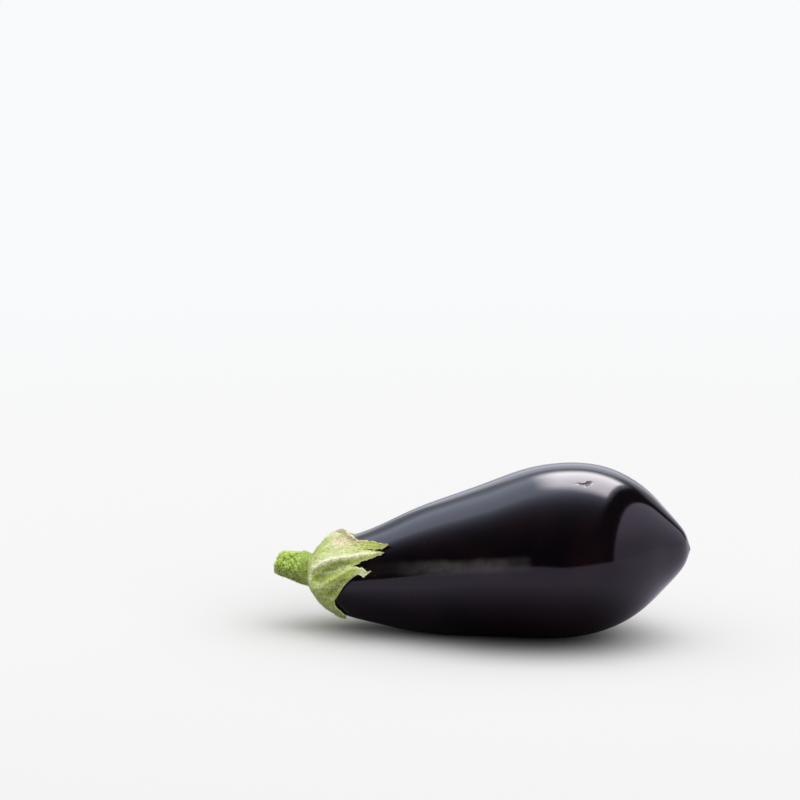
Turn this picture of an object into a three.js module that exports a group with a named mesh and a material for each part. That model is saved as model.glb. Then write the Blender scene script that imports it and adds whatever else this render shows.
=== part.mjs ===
// Aubergine: a glossy oval fruit lying on its side, the calyx that caps its stem end, and its short cut stem.
// Millimetres, +Z up. X runs along the fruit, from the stem to the blossom end, and Y across it.
// The origin is on the surface it rests on, under the middle of its bounding box.
// Angles are about the fruit's length: 0 faces -Y, 90 faces up and -90 faces down.
import * as THREE from "three";

// ---- Driving dimensions ----------------------------------------------------------------------------------

// The fruit's outline: distance from the stem end, radius there, and height of the section's centre.
const OUTLINE = [
  [0, 0, 29.5],
  [2.2, 8.4, 29],
  [7, 14.2, 27.8],
  [14.5, 18.3, 26.9],
  [27.5, 22.3, 27.6],
  [45.5, 28.2, 30.4],
  [65.5, 33.3, 33.6],
  [85.5, 37.5, 37.5],
  [103.5, 41, 41.1],
  [119.5, 42.2, 42.8],
  [133.5, 41.1, 43.8],
  [145.5, 37.9, 44.4],
  [156.5, 32.4, 44.7],
  [165.5, 25.1, 45],
  [172.5, 17.4, 45],
  [178, 11.4, 45.1],
  [181, 6.4, 45.2],
];
const BLOSSOM_SCAR = { x: 182.4, radius: 2.2, nubX: 183, height: 45.2 };
const FLAT_SPOT_SINK = 0.6; // how far the round belly is pressed flat where it rests
const SHOULDER_FLUTE = { depth: 0.35, count: 5, phase: 48, fadeOver: 60 };
const BODY_WAVE = { depth: 0.3, count: 2, phase: 20, pitch: 95 };

const SKIN_GAP = 0.35; // clearance between separate pieces that touch

// The calyx is a cup that hugs the shoulder, cut at its rim into lobes. Distances run along the skin from
// the middle of the stem end. Each lobe fills the arc from its own notch to the next lobe's notch; it is
// folded up along a crest, lifts off the skin towards its tip, and its edges ripple.
const CUP_START = 3;
const CALYX_THICKNESS = { crown: 2.2, notch: 1.3, tip: 0.9 };
const CREST_HOLLOW = 0.7; // share of a fold's height that is hollow underneath
const LOBES = [
  {
    notch: { angle: -22, reach: 23, rise: 0.3 },
    tip: { angle: 12, reach: 45.5 },
    bow: { start: 0.4, end: 1 },
    crest: { height: 2.6, across: 0.5 },
    lift: 3.2,
    twist: 30,
    ripple: 0.3,
    columns: 10,
  },
  {
    notch: { angle: 23.5, reach: 36, rise: 0.2 },
    tip: { angle: 31.5, reach: 51 },
    bow: { start: 1, end: 1 },
    crest: { height: 2.4, across: 0 },
    lift: 0.9,
    twist: 0,
    ripple: 0,
    columns: 6,
  },
  {
    notch: { angle: 41.5, reach: 37.5, rise: 2 },
    tip: { angle: 39, reach: 53.5 },
    bow: { start: 1, end: 0.42 },
    crest: { height: 2.2, across: -0.2 },
    lift: 1,
    twist: 0,
    ripple: 0,
    columns: 12,
  },
  {
    notch: { angle: 102, reach: 22, rise: 2.2 },
    tip: { angle: 142, reach: 35 },
    bow: { start: 1, end: 0.8 },
    crest: { height: 2, across: 0 },
    lift: 1,
    twist: -20,
    ripple: 0.4,
    columns: 8,
  },
  {
    notch: { angle: 154, reach: 24, rise: 0.3 },
    tip: { angle: 182, reach: 44 },
    bow: { start: 0.8, end: 0.9 },
    crest: { height: 2.2, across: 0 },
    lift: 1.8,
    twist: 20,
    ripple: 0.5,
    columns: 8,
  },
  {
    notch: { angle: 210, reach: 25, rise: 0.3 },
    tip: { angle: 236, reach: 40 },
    bow: { start: 0.9, end: 0.9 },
    crest: { height: 1.8, across: 0 },
    lift: 1.4,
    twist: -20,
    ripple: 0.4,
    columns: 8,
  },
  {
    notch: { angle: 266, reach: 22, rise: 0.2 },
    tip: { angle: 296, reach: 33 },
    bow: { start: 1, end: 0.7 },
    crest: { height: 1, across: 0 },
    lift: 0.3,
    twist: 0,
    ripple: 0.2,
    columns: 10,
  },
];
const FOLD_START_AT = 7;
const FOLD_FULL_AT = 20; // distance along the skin where the folds reach their full height
const RIPPLES = 1.5;
const CUP_ROWS = 9;
const LOBE_ROWS = 8;

// The stem: distance from the stem end (towards -X), radius, and height of its centre.
const STEM_OUTLINE = [
  [2.6, 9, 30.1],
  [4.4, 8.3, 30.4],
  [8, 7.2, 31],
  [12, 6.2, 31.6],
  [15.5, 5.8, 32],
  [17.4, 5.6, 32.1],
];
const STEM_FOOT = [8.8, 6.2, 3.8, 1.8]; // distances along the skin of the rings of the stem's spread foot
const STEM_BOW = 0.8; // sideways bow of the stem's middle
const STEM_RIDGE = { depth: 0.35, count: 5, twist: 4 };
const STEM_CUT_LEAN = 0.28; // the cut leans, so the top of the stem is this much of a radius shorter
const WART = { count: 46, height: 0.55, radius: 1.25, seed: 7 };

const FRUIT_ROWS = 46;
const FRUIT_COLUMNS = 60;
const STEM_ROWS = 16;
const STEM_COLUMNS = 32;

// ---- Helpers ---------------------------------------------------------------------------------------------

const radians = THREE.MathUtils.degToRad;
const lerp = THREE.MathUtils.lerp;
const smooth = (x, low, high) => THREE.MathUtils.smoothstep(x, low, high);
const around = (angle) => new THREE.Vector3(0, -Math.cos(radians(angle)), Math.sin(radians(angle)));

/** A closed surface through rings of points, each ring going round +X, with a point closing each end. */
function closedSkin(rings, firstPole, lastPole) {
  const columns = rings[0].length;
  const points = [firstPole, ...rings.flat(), lastPole];
  const last = points.length - 1;
  const at = (row, column) => 1 + row * columns + (column % columns);
  const faces = [];
  for (let column = 0; column < columns; column++) {
    faces.push(0, at(0, column), at(0, column + 1));
    for (let row = 0; row < rings.length - 1; row++) {
      faces.push(at(row, column), at(row + 1, column), at(row + 1, column + 1));
      faces.push(at(row, column), at(row + 1, column + 1), at(row, column + 1));
    }
    faces.push(last, at(rings.length - 1, column + 1), at(rings.length - 1, column));
  }
  return geometryOf(points, faces);
}

/** A closed solid between two sheets of the same points and faces, stitched along their free edges. */
function thickSheet(outer, inner, faces) {
  const count = outer.length;
  const closed = [...faces];
  for (let i = 0; i < faces.length; i += 3) {
    closed.push(faces[i] + count, faces[i + 2] + count, faces[i + 1] + count);
  }
  const edges = new Map();
  for (let i = 0; i < faces.length; i += 3) {
    for (let k = 0; k < 3; k++) {
      const from = faces[i + k];
      const to = faces[i + ((k + 1) % 3)];
      edges.set(`${from},${to}`, [from, to]);
    }
  }
  for (const [from, to] of edges.values()) {
    if (edges.has(`${to},${from}`)) continue;
    closed.push(to, from, from + count);
    closed.push(to, from + count, to + count);
  }
  return geometryOf([...outer, ...inner], closed);
}

function geometryOf(points, faces) {
  const geometry = new THREE.BufferGeometry().setFromPoints(points);
  geometry.setIndex(faces);
  geometry.computeVertexNormals();
  return geometry;
}

/** A named mesh with its own finish. */
function piece(name, geometry, color, roughness) {
  const material = new THREE.MeshStandardMaterial({ color, roughness, metalness: 0 });
  const mesh = new THREE.Mesh(geometry, material);
  mesh.name = name;
  return mesh;
}

// ---- Fruit -----------------------------------------------------------------------------------------------

const scarStations = [
  [BLOSSOM_SCAR.x, BLOSSOM_SCAR.radius, BLOSSOM_SCAR.height],
  [BLOSSOM_SCAR.nubX, 0, BLOSSOM_SCAR.height],
];
const profile = new THREE.CatmullRomCurve3(
  [...OUTLINE, ...scarStations].map((station) => new THREE.Vector3(...station)),
);
const profileLength = profile.getLength();

/** The fruit's skin at a distance along it from the stem end, at an angle, raised off it by height. */
function skinPoint(distance, angle, height = 0) {
  const share = THREE.MathUtils.clamp(distance / profileLength, 0, 1);
  const station = profile.getPointAt(share);
  const slope = profile.getTangentAt(share);
  const neck = 1 - smooth(station.x, 0, SHOULDER_FLUTE.fadeOver);
  const flute = neck * SHOULDER_FLUTE.depth * Math.cos(radians(SHOULDER_FLUTE.count * (angle - SHOULDER_FLUTE.phase)));
  const turn = BODY_WAVE.count * (angle - BODY_WAVE.phase) + (360 * station.x) / BODY_WAVE.pitch;
  const wave = BODY_WAVE.depth * Math.cos(radians(turn)) * smooth(station.x, 20, 60) * smooth(-station.x, -170, -140);
  const radius = station.y + (flute + wave) * smooth(station.y, 0, 10);
  const outward = new THREE.Vector2(-slope.y, slope.x).normalize();
  return new THREE.Vector3(station.x + outward.x * height, 0, station.z).addScaledVector(
    around(angle),
    radius + outward.y * height,
  );
}

function makeFruit() {
  const rings = [];
  for (let row = 1; row < FRUIT_ROWS; row++) {
    const distance = (profileLength * (1 - Math.cos((Math.PI * row) / FRUIT_ROWS))) / 2;
    const ring = [];
    for (let column = 0; column < FRUIT_COLUMNS; column++) {
      const point = skinPoint(distance, (360 * column) / FRUIT_COLUMNS - 90);
      point.z = Math.max(point.z - FLAT_SPOT_SINK, 0);
      ring.push(point);
    }
    rings.push(ring);
  }
  const sunk = new THREE.Vector3(0, 0, -FLAT_SPOT_SINK);
  const geometry = closedSkin(rings, skinPoint(0, 0).add(sunk), skinPoint(profileLength, 0).add(sunk));
  return piece("fruit", geometry, 0x17101c, 0.12);
}

// ---- Calyx -----------------------------------------------------------------------------------------------

/** The angle at a place across a lobe, from -1 at its starting edge to 1, and along it, from root to tip. */
function lobeAngle(lobe, next, across, share) {
  const endAngle = next.notch.angle + (next.notch.angle < lobe.notch.angle ? 360 : 0);
  const start = lerp(lobe.notch.angle, lobe.tip.angle, Math.pow(share, lobe.bow.start));
  const end = lerp(endAngle, lobe.tip.angle, Math.pow(share, lobe.bow.end));
  return lerp(start, end, (across + 1) / 2);
}

/** How high a lobe's fold stands at a place across it and along it. */
function foldHeight(lobe, next, across, share) {
  const edge = lerp(lobe.notch.rise, next.notch.rise, (across + 1) / 2) * (1 - share);
  const side = across < lobe.crest.across ? -1 : 1;
  const nearness = (side - across) / (side - lobe.crest.across);
  return lerp(edge, lobe.crest.height * (1 - 0.7 * share), Math.pow(nearness, 1.2));
}

function makeCalyx() {
  const outer = [];
  const inner = [];
  const faces = [];
  const add = (distance, angle, fold, lift, share) => {
    const body = lerp(CALYX_THICKNESS.crown, CALYX_THICKNESS.notch, Math.min(1, distance / 25));
    const thickness = lerp(body, CALYX_THICKNESS.tip, share);
    const clearance = SKIN_GAP + fold * CREST_HOLLOW + lift;
    inner.push(skinPoint(distance, angle, clearance));
    outer.push(skinPoint(distance, angle, clearance + thickness + fold * (1 - CREST_HOLLOW)));
    return outer.length - 1;
  };
  const crown = add(0, 0, 0, 0, 0);

  // The cup: rings from the crown out to the scalloped line through the notches.
  const cupRings = Array.from({ length: CUP_ROWS }, () => []);
  LOBES.forEach((lobe, index) => {
    const next = LOBES[(index + 1) % LOBES.length];
    for (let column = 0; column < lobe.columns; column++) {
      const across = (2 * column) / lobe.columns - 1;
      const angle = lobeAngle(lobe, next, across, 0);
      const rimReach = lerp(lobe.notch.reach, next.notch.reach, column / lobe.columns);
      cupRings.forEach((ring, row) => {
        const distance = lerp(CUP_START, rimReach, row / (CUP_ROWS - 1));
        const fold = foldHeight(lobe, next, across, 0) * smooth(distance, FOLD_START_AT, FOLD_FULL_AT);
        ring.push(add(distance, angle, fold, 0, 0));
      });
    }
  });
  const columns = cupRings[0].length;
  for (let column = 0; column < columns; column++) {
    const beside = (column + 1) % columns;
    faces.push(crown, cupRings[0][column], cupRings[0][beside]);
    for (let row = 0; row < CUP_ROWS - 1; row++) {
      const [a, b] = [cupRings[row][column], cupRings[row][beside]];
      const [c, d] = [cupRings[row + 1][column], cupRings[row + 1][beside]];
      faces.push(a, c, d, a, d, b);
    }
  }

  // The lobes: strips that start on the scalloped line and close on their tips.
  let firstColumn = 0;
  LOBES.forEach((lobe, index) => {
    const next = LOBES[(index + 1) % LOBES.length];
    const rim = cupRings[CUP_ROWS - 1];
    let row = Array.from({ length: lobe.columns + 1 }, (_, column) => rim[(firstColumn + column) % columns]);
    for (let step = 1; step < LOBE_ROWS; step++) {
      const share = step / LOBE_ROWS;
      const nextRow = row.map((_, column) => {
        const across = (2 * column) / lobe.columns - 1;
        const rimReach = lerp(lobe.notch.reach, next.notch.reach, column / lobe.columns);
        const distance = lerp(rimReach, lobe.tip.reach, share);
        const turn = 1 + across * Math.sin(radians(lobe.twist));
        const ripple = lobe.ripple * Math.abs(across) * (1 - Math.cos(2 * Math.PI * share * RIPPLES));
        const lift = lobe.lift * share * share * turn + ripple * Math.min(1, 3 - 3 * share);
        const angle = lobeAngle(lobe, next, across, share);
        return add(distance, angle, foldHeight(lobe, next, across, share), lift, share);
      });
      for (let column = 0; column < lobe.columns; column++) {
        faces.push(row[column], nextRow[column], nextRow[column + 1]);
        faces.push(row[column], nextRow[column + 1], row[column + 1]);
      }
      row = nextRow;
    }
    const tip = add(lobe.tip.reach, lobe.tip.angle, 0, lobe.lift, 1);
    for (let column = 0; column < lobe.columns; column++) faces.push(row[column], tip, row[column + 1]);
    firstColumn += lobe.columns;
  });
  return piece("calyx", thickSheet(outer, inner, faces), 0xa9c25c, 0.75);
}

// ---- Stem ------------------------------------------------------------------------------------------------

/** Numbers from 0 to 1 in a fixed order for a seed. */
function seededNumbers(seed) {
  let state = seed;
  return () => {
    state = (state * 16807) % 2147483647;
    return state / 2147483647;
  };
}

function makeStem() {
  const line = new THREE.CatmullRomCurve3(STEM_OUTLINE.map(([x, r, z]) => new THREE.Vector3(-x, r, z)));
  const next = seededNumbers(WART.seed);
  const warts = Array.from({ length: WART.count }, () => ({ share: 0.12 + 0.83 * next(), angle: 360 * next() }));
  const stemLength = STEM_OUTLINE.at(-1)[0] - STEM_OUTLINE[0][0];

  const wartHeight = (share, angle, radius) => {
    let height = 0;
    for (const wart of warts) {
      const along = (share - wart.share) * stemLength;
      const turn = ((angle - wart.angle + 540) % 360) - 180;
      const away = Math.hypot(along, radians(turn) * radius) / WART.radius;
      if (away < 1) height = Math.max(height, WART.height * (1 - away * away));
    }
    return height;
  };
  const stemPoint = (share, angle, inset = 1) => {
    const station = line.getPoint(share);
    const ridge = STEM_RIDGE.depth * Math.cos(radians(STEM_RIDGE.count * (angle + STEM_RIDGE.twist * share)));
    const radius = (station.y + (ridge + wartHeight(share, angle, station.y)) * smooth(share, 0, 0.15)) * inset;
    const lean = STEM_CUT_LEAN * radius * Math.sin(radians(angle)) * smooth(share, 0.55, 1);
    const bow = STEM_BOW * Math.sin(Math.PI * share * 0.5);
    return new THREE.Vector3(station.x + lean, bow, station.z).addScaledVector(around(angle), radius);
  };

  // Rings run from the cut face down the stem to its foot, and then in over the calyx's crown.
  const angles = Array.from({ length: STEM_COLUMNS }, (_, column) => (360 * column) / STEM_COLUMNS - 90);
  const cutFace = [0.35, 0.7, 0.93].map((inset) => angles.map((angle) => stemPoint(1, angle, inset)));
  const side = Array.from({ length: STEM_ROWS }, (_, row) => {
    return angles.map((angle) => stemPoint(1 - row / (STEM_ROWS - 1), angle));
  });
  const footClearance = SKIN_GAP + CALYX_THICKNESS.crown + SKIN_GAP;
  const foot = STEM_FOOT.map((distance) => angles.map((angle) => skinPoint(distance, angle, footClearance)));
  const cutMiddle = stemPoint(1, 0, 0);
  return piece(
    "stem",
    closedSkin([...cutFace, ...side, ...foot], cutMiddle, skinPoint(0, 0, footClearance)),
    0x86a83e,
    0.8,
  );
}

// ---- Assembly --------------------------------------------------------------------------------------------

const fruit = makeFruit();
const calyx = makeCalyx();
const stem = makeStem();
for (const capPiece of [calyx, stem]) capPiece.position.z = -FLAT_SPOT_SINK;

const aubergine = new THREE.Group();
aubergine.add(fruit, calyx, stem);
const middle = new THREE.Box3().setFromObject(aubergine, true).getCenter(new THREE.Vector3());
aubergine.position.set(-middle.x, -middle.y, 0);

export default aubergine;
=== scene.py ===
"""A glossy eggplant on a pale studio floor: waxy dark fruit, folded felted calyx and warty cut stem.

Everything is in metres in the part's own frame: +X runs from the stem to the blossom end and +Z is up.
Angles about the fruit's length are in degrees: 0 faces -Y, 90 faces up and -90 faces down.
"""

import logging
import math
from dataclasses import dataclass, field
from enum import Enum

import bpy
import numpy as np
from mathutils import Matrix, Vector


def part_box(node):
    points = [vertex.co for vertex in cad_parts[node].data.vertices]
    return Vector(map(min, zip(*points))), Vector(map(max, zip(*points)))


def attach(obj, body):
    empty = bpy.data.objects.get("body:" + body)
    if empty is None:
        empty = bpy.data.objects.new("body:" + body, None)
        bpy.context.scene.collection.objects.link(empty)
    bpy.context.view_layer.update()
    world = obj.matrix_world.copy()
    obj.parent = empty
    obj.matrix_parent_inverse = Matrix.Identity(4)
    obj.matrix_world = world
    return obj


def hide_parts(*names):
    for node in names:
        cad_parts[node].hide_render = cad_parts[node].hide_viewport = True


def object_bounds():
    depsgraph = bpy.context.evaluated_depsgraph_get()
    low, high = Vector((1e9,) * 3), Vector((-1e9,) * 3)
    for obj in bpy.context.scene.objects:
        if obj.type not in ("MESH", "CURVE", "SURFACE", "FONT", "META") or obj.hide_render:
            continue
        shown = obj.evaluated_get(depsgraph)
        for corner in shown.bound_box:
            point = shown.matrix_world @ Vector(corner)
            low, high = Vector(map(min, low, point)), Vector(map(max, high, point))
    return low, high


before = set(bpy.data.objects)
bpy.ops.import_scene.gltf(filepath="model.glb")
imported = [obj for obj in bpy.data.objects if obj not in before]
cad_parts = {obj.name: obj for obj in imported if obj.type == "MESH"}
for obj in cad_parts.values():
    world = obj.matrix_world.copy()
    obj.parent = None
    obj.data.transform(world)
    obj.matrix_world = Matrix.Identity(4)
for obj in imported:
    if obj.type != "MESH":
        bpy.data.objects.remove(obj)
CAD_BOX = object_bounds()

Array = np.ndarray
Pair = tuple[float, float]
Triple = tuple[float, float, float]
Quad = tuple[float, float, float, float]
Piece = bpy.types.Object
Material = bpy.types.Material
Tree = bpy.types.NodeTree
Node = bpy.types.Node
Socket = bpy.types.NodeSocket
Outputs = bpy.types.NodeOutputs

LOG = logging.getLogger("eggplant")
MM = 0.001


class Curl(Enum):
    """How the outer part of a calyx lobe lies; its value is the ripple of its edges in millimetres."""

    HUGS = 0.2
    LIFTS = 0.45
    HOOKS = 0.25


# ---- Small tools -----------------------------------------------------------------------------------------


def linear(code: str) -> Quad:
    """Turns an sRGB hex colour into linear RGBA.

    Args:
        code: The colour as "#rrggbb".

    Returns:
        Linear red, green, blue and an alpha of 1.
    """
    parts = [int(code[i : i + 2], 16) / 255 for i in (1, 3, 5)]
    red, green, blue = (c / 12.92 if c <= 0.04045 else ((c + 0.055) / 1.055) ** 2.4 for c in parts)
    return red, green, blue, 1.0


MATH = "ShaderNodeMath"
VECTOR = "ShaderNodeVectorMath"
RANGE = "ShaderNodeMapRange"
NOISE = "ShaderNodeTexNoise"


def add_node(
    tree: Tree,
    kind: str,
    settings: dict[str, object] | None = None,
    links: dict[int | str, object] | None = None,
) -> Node:
    """Adds a node with its settings and links.

    Args:
        tree: The node tree that gets the node.
        kind: The node's Blender type name.
        settings: Values for the node's own properties.
        links: Input name or number to what feeds it: a node's first working output, an output or a value.

    Returns:
        The new node.
    """
    node = tree.nodes.new(kind)
    for key, value in (settings or {}).items():
        setattr(node, key, value)
    feed(tree, node, links or {})
    return node


def feed(tree: Tree, node: Node, links: dict[int | str, object]) -> None:
    """Links or sets the inputs of a node.

    Args:
        tree: The node tree.
        node: The node.
        links: Input name or number to what feeds it, as for add_node.
    """
    for key, source in links.items():
        if isinstance(source, Node):
            source = next(output for output in source.outputs if output.enabled)
        if isinstance(source, Socket):
            tree.links.new(source, node.inputs[key])
        else:
            node.inputs[key].default_value = source


def smoothstep(x: Array, low: float, high: float) -> Array:
    """Rises smoothly from 0 at low to 1 at high."""
    t = np.clip((x - low) / (high - low), 0, 1)
    return t * t * (3 - 2 * t)


def deselect_all() -> None:
    """Leaves object mode with nothing selected."""
    if bpy.context.object and bpy.context.object.mode != "OBJECT":
        bpy.ops.object.mode_set(mode="OBJECT")
    bpy.ops.object.select_all(action="DESELECT")


def make_active(piece: Piece) -> None:
    """Selects one object alone and makes it the active one."""
    deselect_all()
    piece.select_set(True)
    bpy.context.view_layer.objects.active = piece


def subdivide(piece: Piece, levels: int) -> None:
    """Adds a subdivision surface to a piece and applies it.

    Args:
        piece: The object to refine.
        levels: How many times each face is split.
    """
    make_active(piece)
    modifier = piece.modifiers.new("finer", "SUBSURF")
    modifier.levels = levels
    modifier.render_levels = levels
    bpy.ops.object.modifier_apply(modifier=modifier.name)


def smooth_noise(points: Array, size: float, seed: int) -> Array:
    """A cheap smooth noise made of waves in seeded directions.

    Args:
        points: Places in metres, one a row.
        size: Typical size of a bump, in metres.
        seed: Picks the directions and phases.

    Returns:
        Values of about -1 to 1, one for each place.
    """
    draw = np.random.default_rng(seed)
    total = np.zeros(len(points))
    waves = 9
    for _ in range(waves):
        direction = draw.normal(size=3)
        direction /= np.linalg.norm(direction)
        pitch = size * draw.uniform(1.4, 2.6)
        total += np.sin(points @ direction * (2 * math.pi / pitch) + draw.uniform(0, 2 * math.pi))
    return total / math.sqrt(waves)


def mesh_piece(name: str, points: Array, faces: list[tuple[int, ...]]) -> Piece:
    """Makes an object from points and faces, with its place in its mesh.

    Args:
        name: The object's name.
        points: Places in metres, one a row.
        faces: Corner numbers of each face, turning left seen from outside.

    Returns:
        The new object, linked to the scene.
    """
    mesh = bpy.data.meshes.new(name)
    mesh.from_pydata(points.tolist(), [], faces)
    mesh.update()
    piece = bpy.data.objects.new(name, mesh)
    bpy.context.scene.collection.objects.link(piece)
    return piece


def places_of(piece: Piece) -> Array:
    """The vertices of a piece as rows of x, y and z."""
    flat = np.empty(len(piece.data.vertices) * 3)
    piece.data.vertices.foreach_get("co", flat)
    return flat.reshape(-1, 3)


def move_to(piece: Piece, points: Array) -> None:
    """Puts the vertices of a piece at new places."""
    piece.data.vertices.foreach_set("co", points.astype(float).ravel())
    piece.data.update()


def normals_of(piece: Piece) -> Array:
    """The vertex normals of a piece, one a row."""
    flat = np.empty(len(piece.data.vertices) * 3)
    piece.data.vertex_normals.foreach_get("vector", flat)
    return flat.reshape(-1, 3)


def paint(piece: Piece, name: str, values: Array) -> None:
    """Stores one number for each vertex of a piece under a name that its material reads."""
    layer = piece.data.attributes.new(name, "FLOAT", "POINT")
    layer.data.foreach_set("value", values.astype(np.float32))


def finish_piece(piece: Piece, node: str, material: Material) -> None:
    """Dresses a finished piece and hands it to the frame.

    Args:
        piece: The piece.
        node: The CAD node that it stands for.
        material: Its material.
    """
    piece.data.materials.clear()
    piece.data.materials.append(material)
    make_active(piece)
    bpy.ops.object.shade_smooth()
    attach(piece, "root")
    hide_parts(node)
    piece.data.calc_loop_triangles()
    LOG.info("%s: %d triangles for %s", piece.name, len(piece.data.loop_triangles), node)


def new_material(name: str) -> tuple[Material, Tree, Node]:
    """A material that holds only a shader and an output.

    Args:
        name: The material's name.

    Returns:
        The material, its node tree and its Principled shader.
    """
    material = bpy.data.materials.new(name)
    material.use_nodes = True
    tree = material.node_tree
    tree.nodes.clear()
    shader = add_node(tree, "ShaderNodeBsdfPrincipled")
    add_node(tree, "ShaderNodeOutputMaterial", links={"Surface": shader.outputs[0]})
    return material, tree, shader


# ---- The fruit's form, which its calyx and stem follow too -----------------------------------------------


@dataclass
class FruitForm:
    """The fruit's skin as a smooth surface of distance along it and angle round it."""

    # Distance from the stem end, radius there and height of the section's centre, in millimetres.
    outline: tuple[Triple, ...] = (
        (0, 0, 29.5), (2.2, 8.4, 29), (7, 14.2, 27.8), (14.5, 18.3, 26.9), (27.5, 22.3, 27.6),
        (45.5, 28.2, 30.4), (65.5, 33.3, 33.6), (85.5, 37.5, 37.5), (103.5, 41, 41.1),
        (119.5, 42.2, 42.8), (133.5, 41.1, 43.8), (145.5, 37.9, 44.4), (156.5, 32.4, 44.7),
        (165.5, 25.1, 45), (172.5, 17.4, 45), (178, 11.4, 45.1), (181, 6.4, 45.2), (182.4, 2.2, 45.2),
        (183, 0, 45.2),
    )
    sink: float = 0.6
    flutes: int = 5
    flute_depth: float = 0.35
    flute_turn: float = 48.0  # angle of the first flute
    wave_depth: float = 0.3
    wave_pitch: float = 95.0
    wave_turn: float = 20.0  # angle of the twist's crest at the stem end
    neck_fades: Pair = (20.0, 60.0)  # between these the flutes give way to the slow twist
    tip_fades: Pair = (140.0, 170.0)  # and between these the twist dies away
    samples: int = 1500
    ease: float = 3.5  # distance over which the outline's small kinks are eased out, in millimetres
    start_x: float = field(init=False)
    along: Array = field(init=False)
    profile: Array = field(init=False)
    slope: Array = field(init=False)

    def __post_init__(self) -> None:
        """Works out the eased profile once."""
        self.start_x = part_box("fruit")[0].x / MM
        stations = np.array(self.outline, float)
        steps = np.linalg.norm(np.diff(stations, axis=0), axis=1)
        knots = np.concatenate([[0], np.cumsum(steps)])
        self.along = np.linspace(0, knots[-1], self.samples)
        rows = np.stack([self.spline(knots, stations[:, k]) for k in range(3)], 1)
        rows[:, 1] = np.clip(rows[:, 1], 0, None)
        self.profile = self.eased(rows)
        self.slope = np.gradient(self.profile, self.along, axis=0)

    def spline(self, knots: Array, values: Array) -> Array:
        """A natural cubic spline through values at knots.

        Args:
            knots: Where the values stand.
            values: The values.

        Returns:
            The spline at every sample along the profile.
        """
        gap = np.diff(knots)
        system = np.eye(len(knots))
        right = np.zeros(len(knots))
        for k in range(1, len(knots) - 1):
            system[k, k - 1 : k + 2] = gap[k - 1], 2 * (gap[k - 1] + gap[k]), gap[k]
            right[k] = 6 * ((values[k + 1] - values[k]) / gap[k] - (values[k] - values[k - 1]) / gap[k - 1])
        bend = np.linalg.solve(system, right)
        k = np.clip(np.searchsorted(knots, self.along, side="right") - 1, 0, len(gap) - 1)
        a = (knots[k + 1] - self.along) / gap[k]
        b = 1 - a
        curve = ((a**3 - a) * bend[k] + (b**3 - b) * bend[k + 1]) * gap[k] ** 2 / 6
        return a * values[k] + b * values[k + 1] + curve

    def eased(self, rows: Array) -> Array:
        """Eases small kinks out of the profile, less and less towards its two ends.

        Args:
            rows: The profile's x, radius and centre height.

        Returns:
            The eased profile.
        """
        step = self.along[1] - self.along[0]
        reach = int(3 * self.ease / step)
        weights = np.exp(-0.5 * (np.arange(-reach, reach + 1) * step / self.ease) ** 2)
        weights /= weights.sum()
        padded = np.pad(rows, ((reach, reach), (0, 0)), mode="reflect", reflect_type="odd")
        soft = np.stack([np.convolve(padded[:, k], weights, "valid") for k in range(3)], 1)
        end = self.along[-1]
        inner = smoothstep(self.along, 12, 30) * (1 - smoothstep(self.along, end - 16, end - 7))
        return rows + (soft - rows) * inner[:, None]

    def skin(self, distance: Array, angle: Array, height: Array | float = 0.0) -> Array:
        """Points on or off the skin.

        Args:
            distance: Millimetres along the skin from the middle of the stem end.
            angle: Degrees about the fruit's length.
            height: Millimetres out from the skin.

        Returns:
            The points in metres, one a row.
        """
        at = [np.interp(distance, self.along, self.profile[:, k]) for k in range(3)]
        run = [np.interp(distance, self.along, self.slope[:, k]) for k in range(2)]
        length = np.hypot(*run)
        radius = at[1] + self.unevenness(at[0], angle, at[1])
        x = at[0] - run[1] / length * height
        out = radius + run[0] / length * height
        turned = np.radians(angle)
        y = -np.cos(turned) * out
        z = at[2] - self.sink + np.sin(turned) * out
        return np.stack([self.start_x + x, y, z], -1) * MM

    def unevenness(self, x: Array, angle: Array, radius: Array) -> Array:
        """How far the skin stands out from a true round.

        Args:
            x: Millimetres from the stem end.
            angle: Degrees about the fruit's length.
            radius: The true round's radius in millimetres.

        Returns:
            Faint flutes at the neck and a slow twist along the body, in millimetres.
        """
        first, last = self.neck_fades
        neck = 1 - smoothstep(x, 0, last)
        flute = neck * self.flute_depth * np.cos(np.radians(self.flutes * (angle - self.flute_turn)))
        turn = 2 * (angle - self.wave_turn) + 360 * x / self.wave_pitch
        wave = self.wave_depth * np.cos(np.radians(turn)) * smoothstep(x, first, last)
        wave *= 1 - smoothstep(x, *self.tip_fades)
        return (flute + wave) * smoothstep(radius, 0, 10)


# ---- Finishes --------------------------------------------------------------------------------------------

MIX = {"data_type": "RGBA", "clamp_result": True}
EASE = {"interpolation_type": "SMOOTHSTEP"}
MULTIPLY = {"operation": "MULTIPLY"}
MADD = {"operation": "MULTIPLY_ADD"}
ADD = {"operation": "ADD"}
SUBTRACT = {"operation": "SUBTRACT"}
MAXIMUM = {"operation": "MAXIMUM"}
ABSOLUTE = {"operation": "ABSOLUTE"}
LENGTH = {"operation": "LENGTH"}
DOT = {"operation": "DOT_PRODUCT"}
SCALE = {"operation": "SCALE"}
PER_MM = 1000  # cells per metre of a pattern whose cells are a millimetre wide

# What the calyx's mesh has painted on its vertices for its finish, about 0 to 1 each.
CALYX_MARKS = ("crest", "hollow", "groove", "tip", "rim", "neck", "vein", "pallor_and_painted_light", "blotch")
STEM_MARKS = ("wart", "cut")  # the same on the stem


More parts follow.
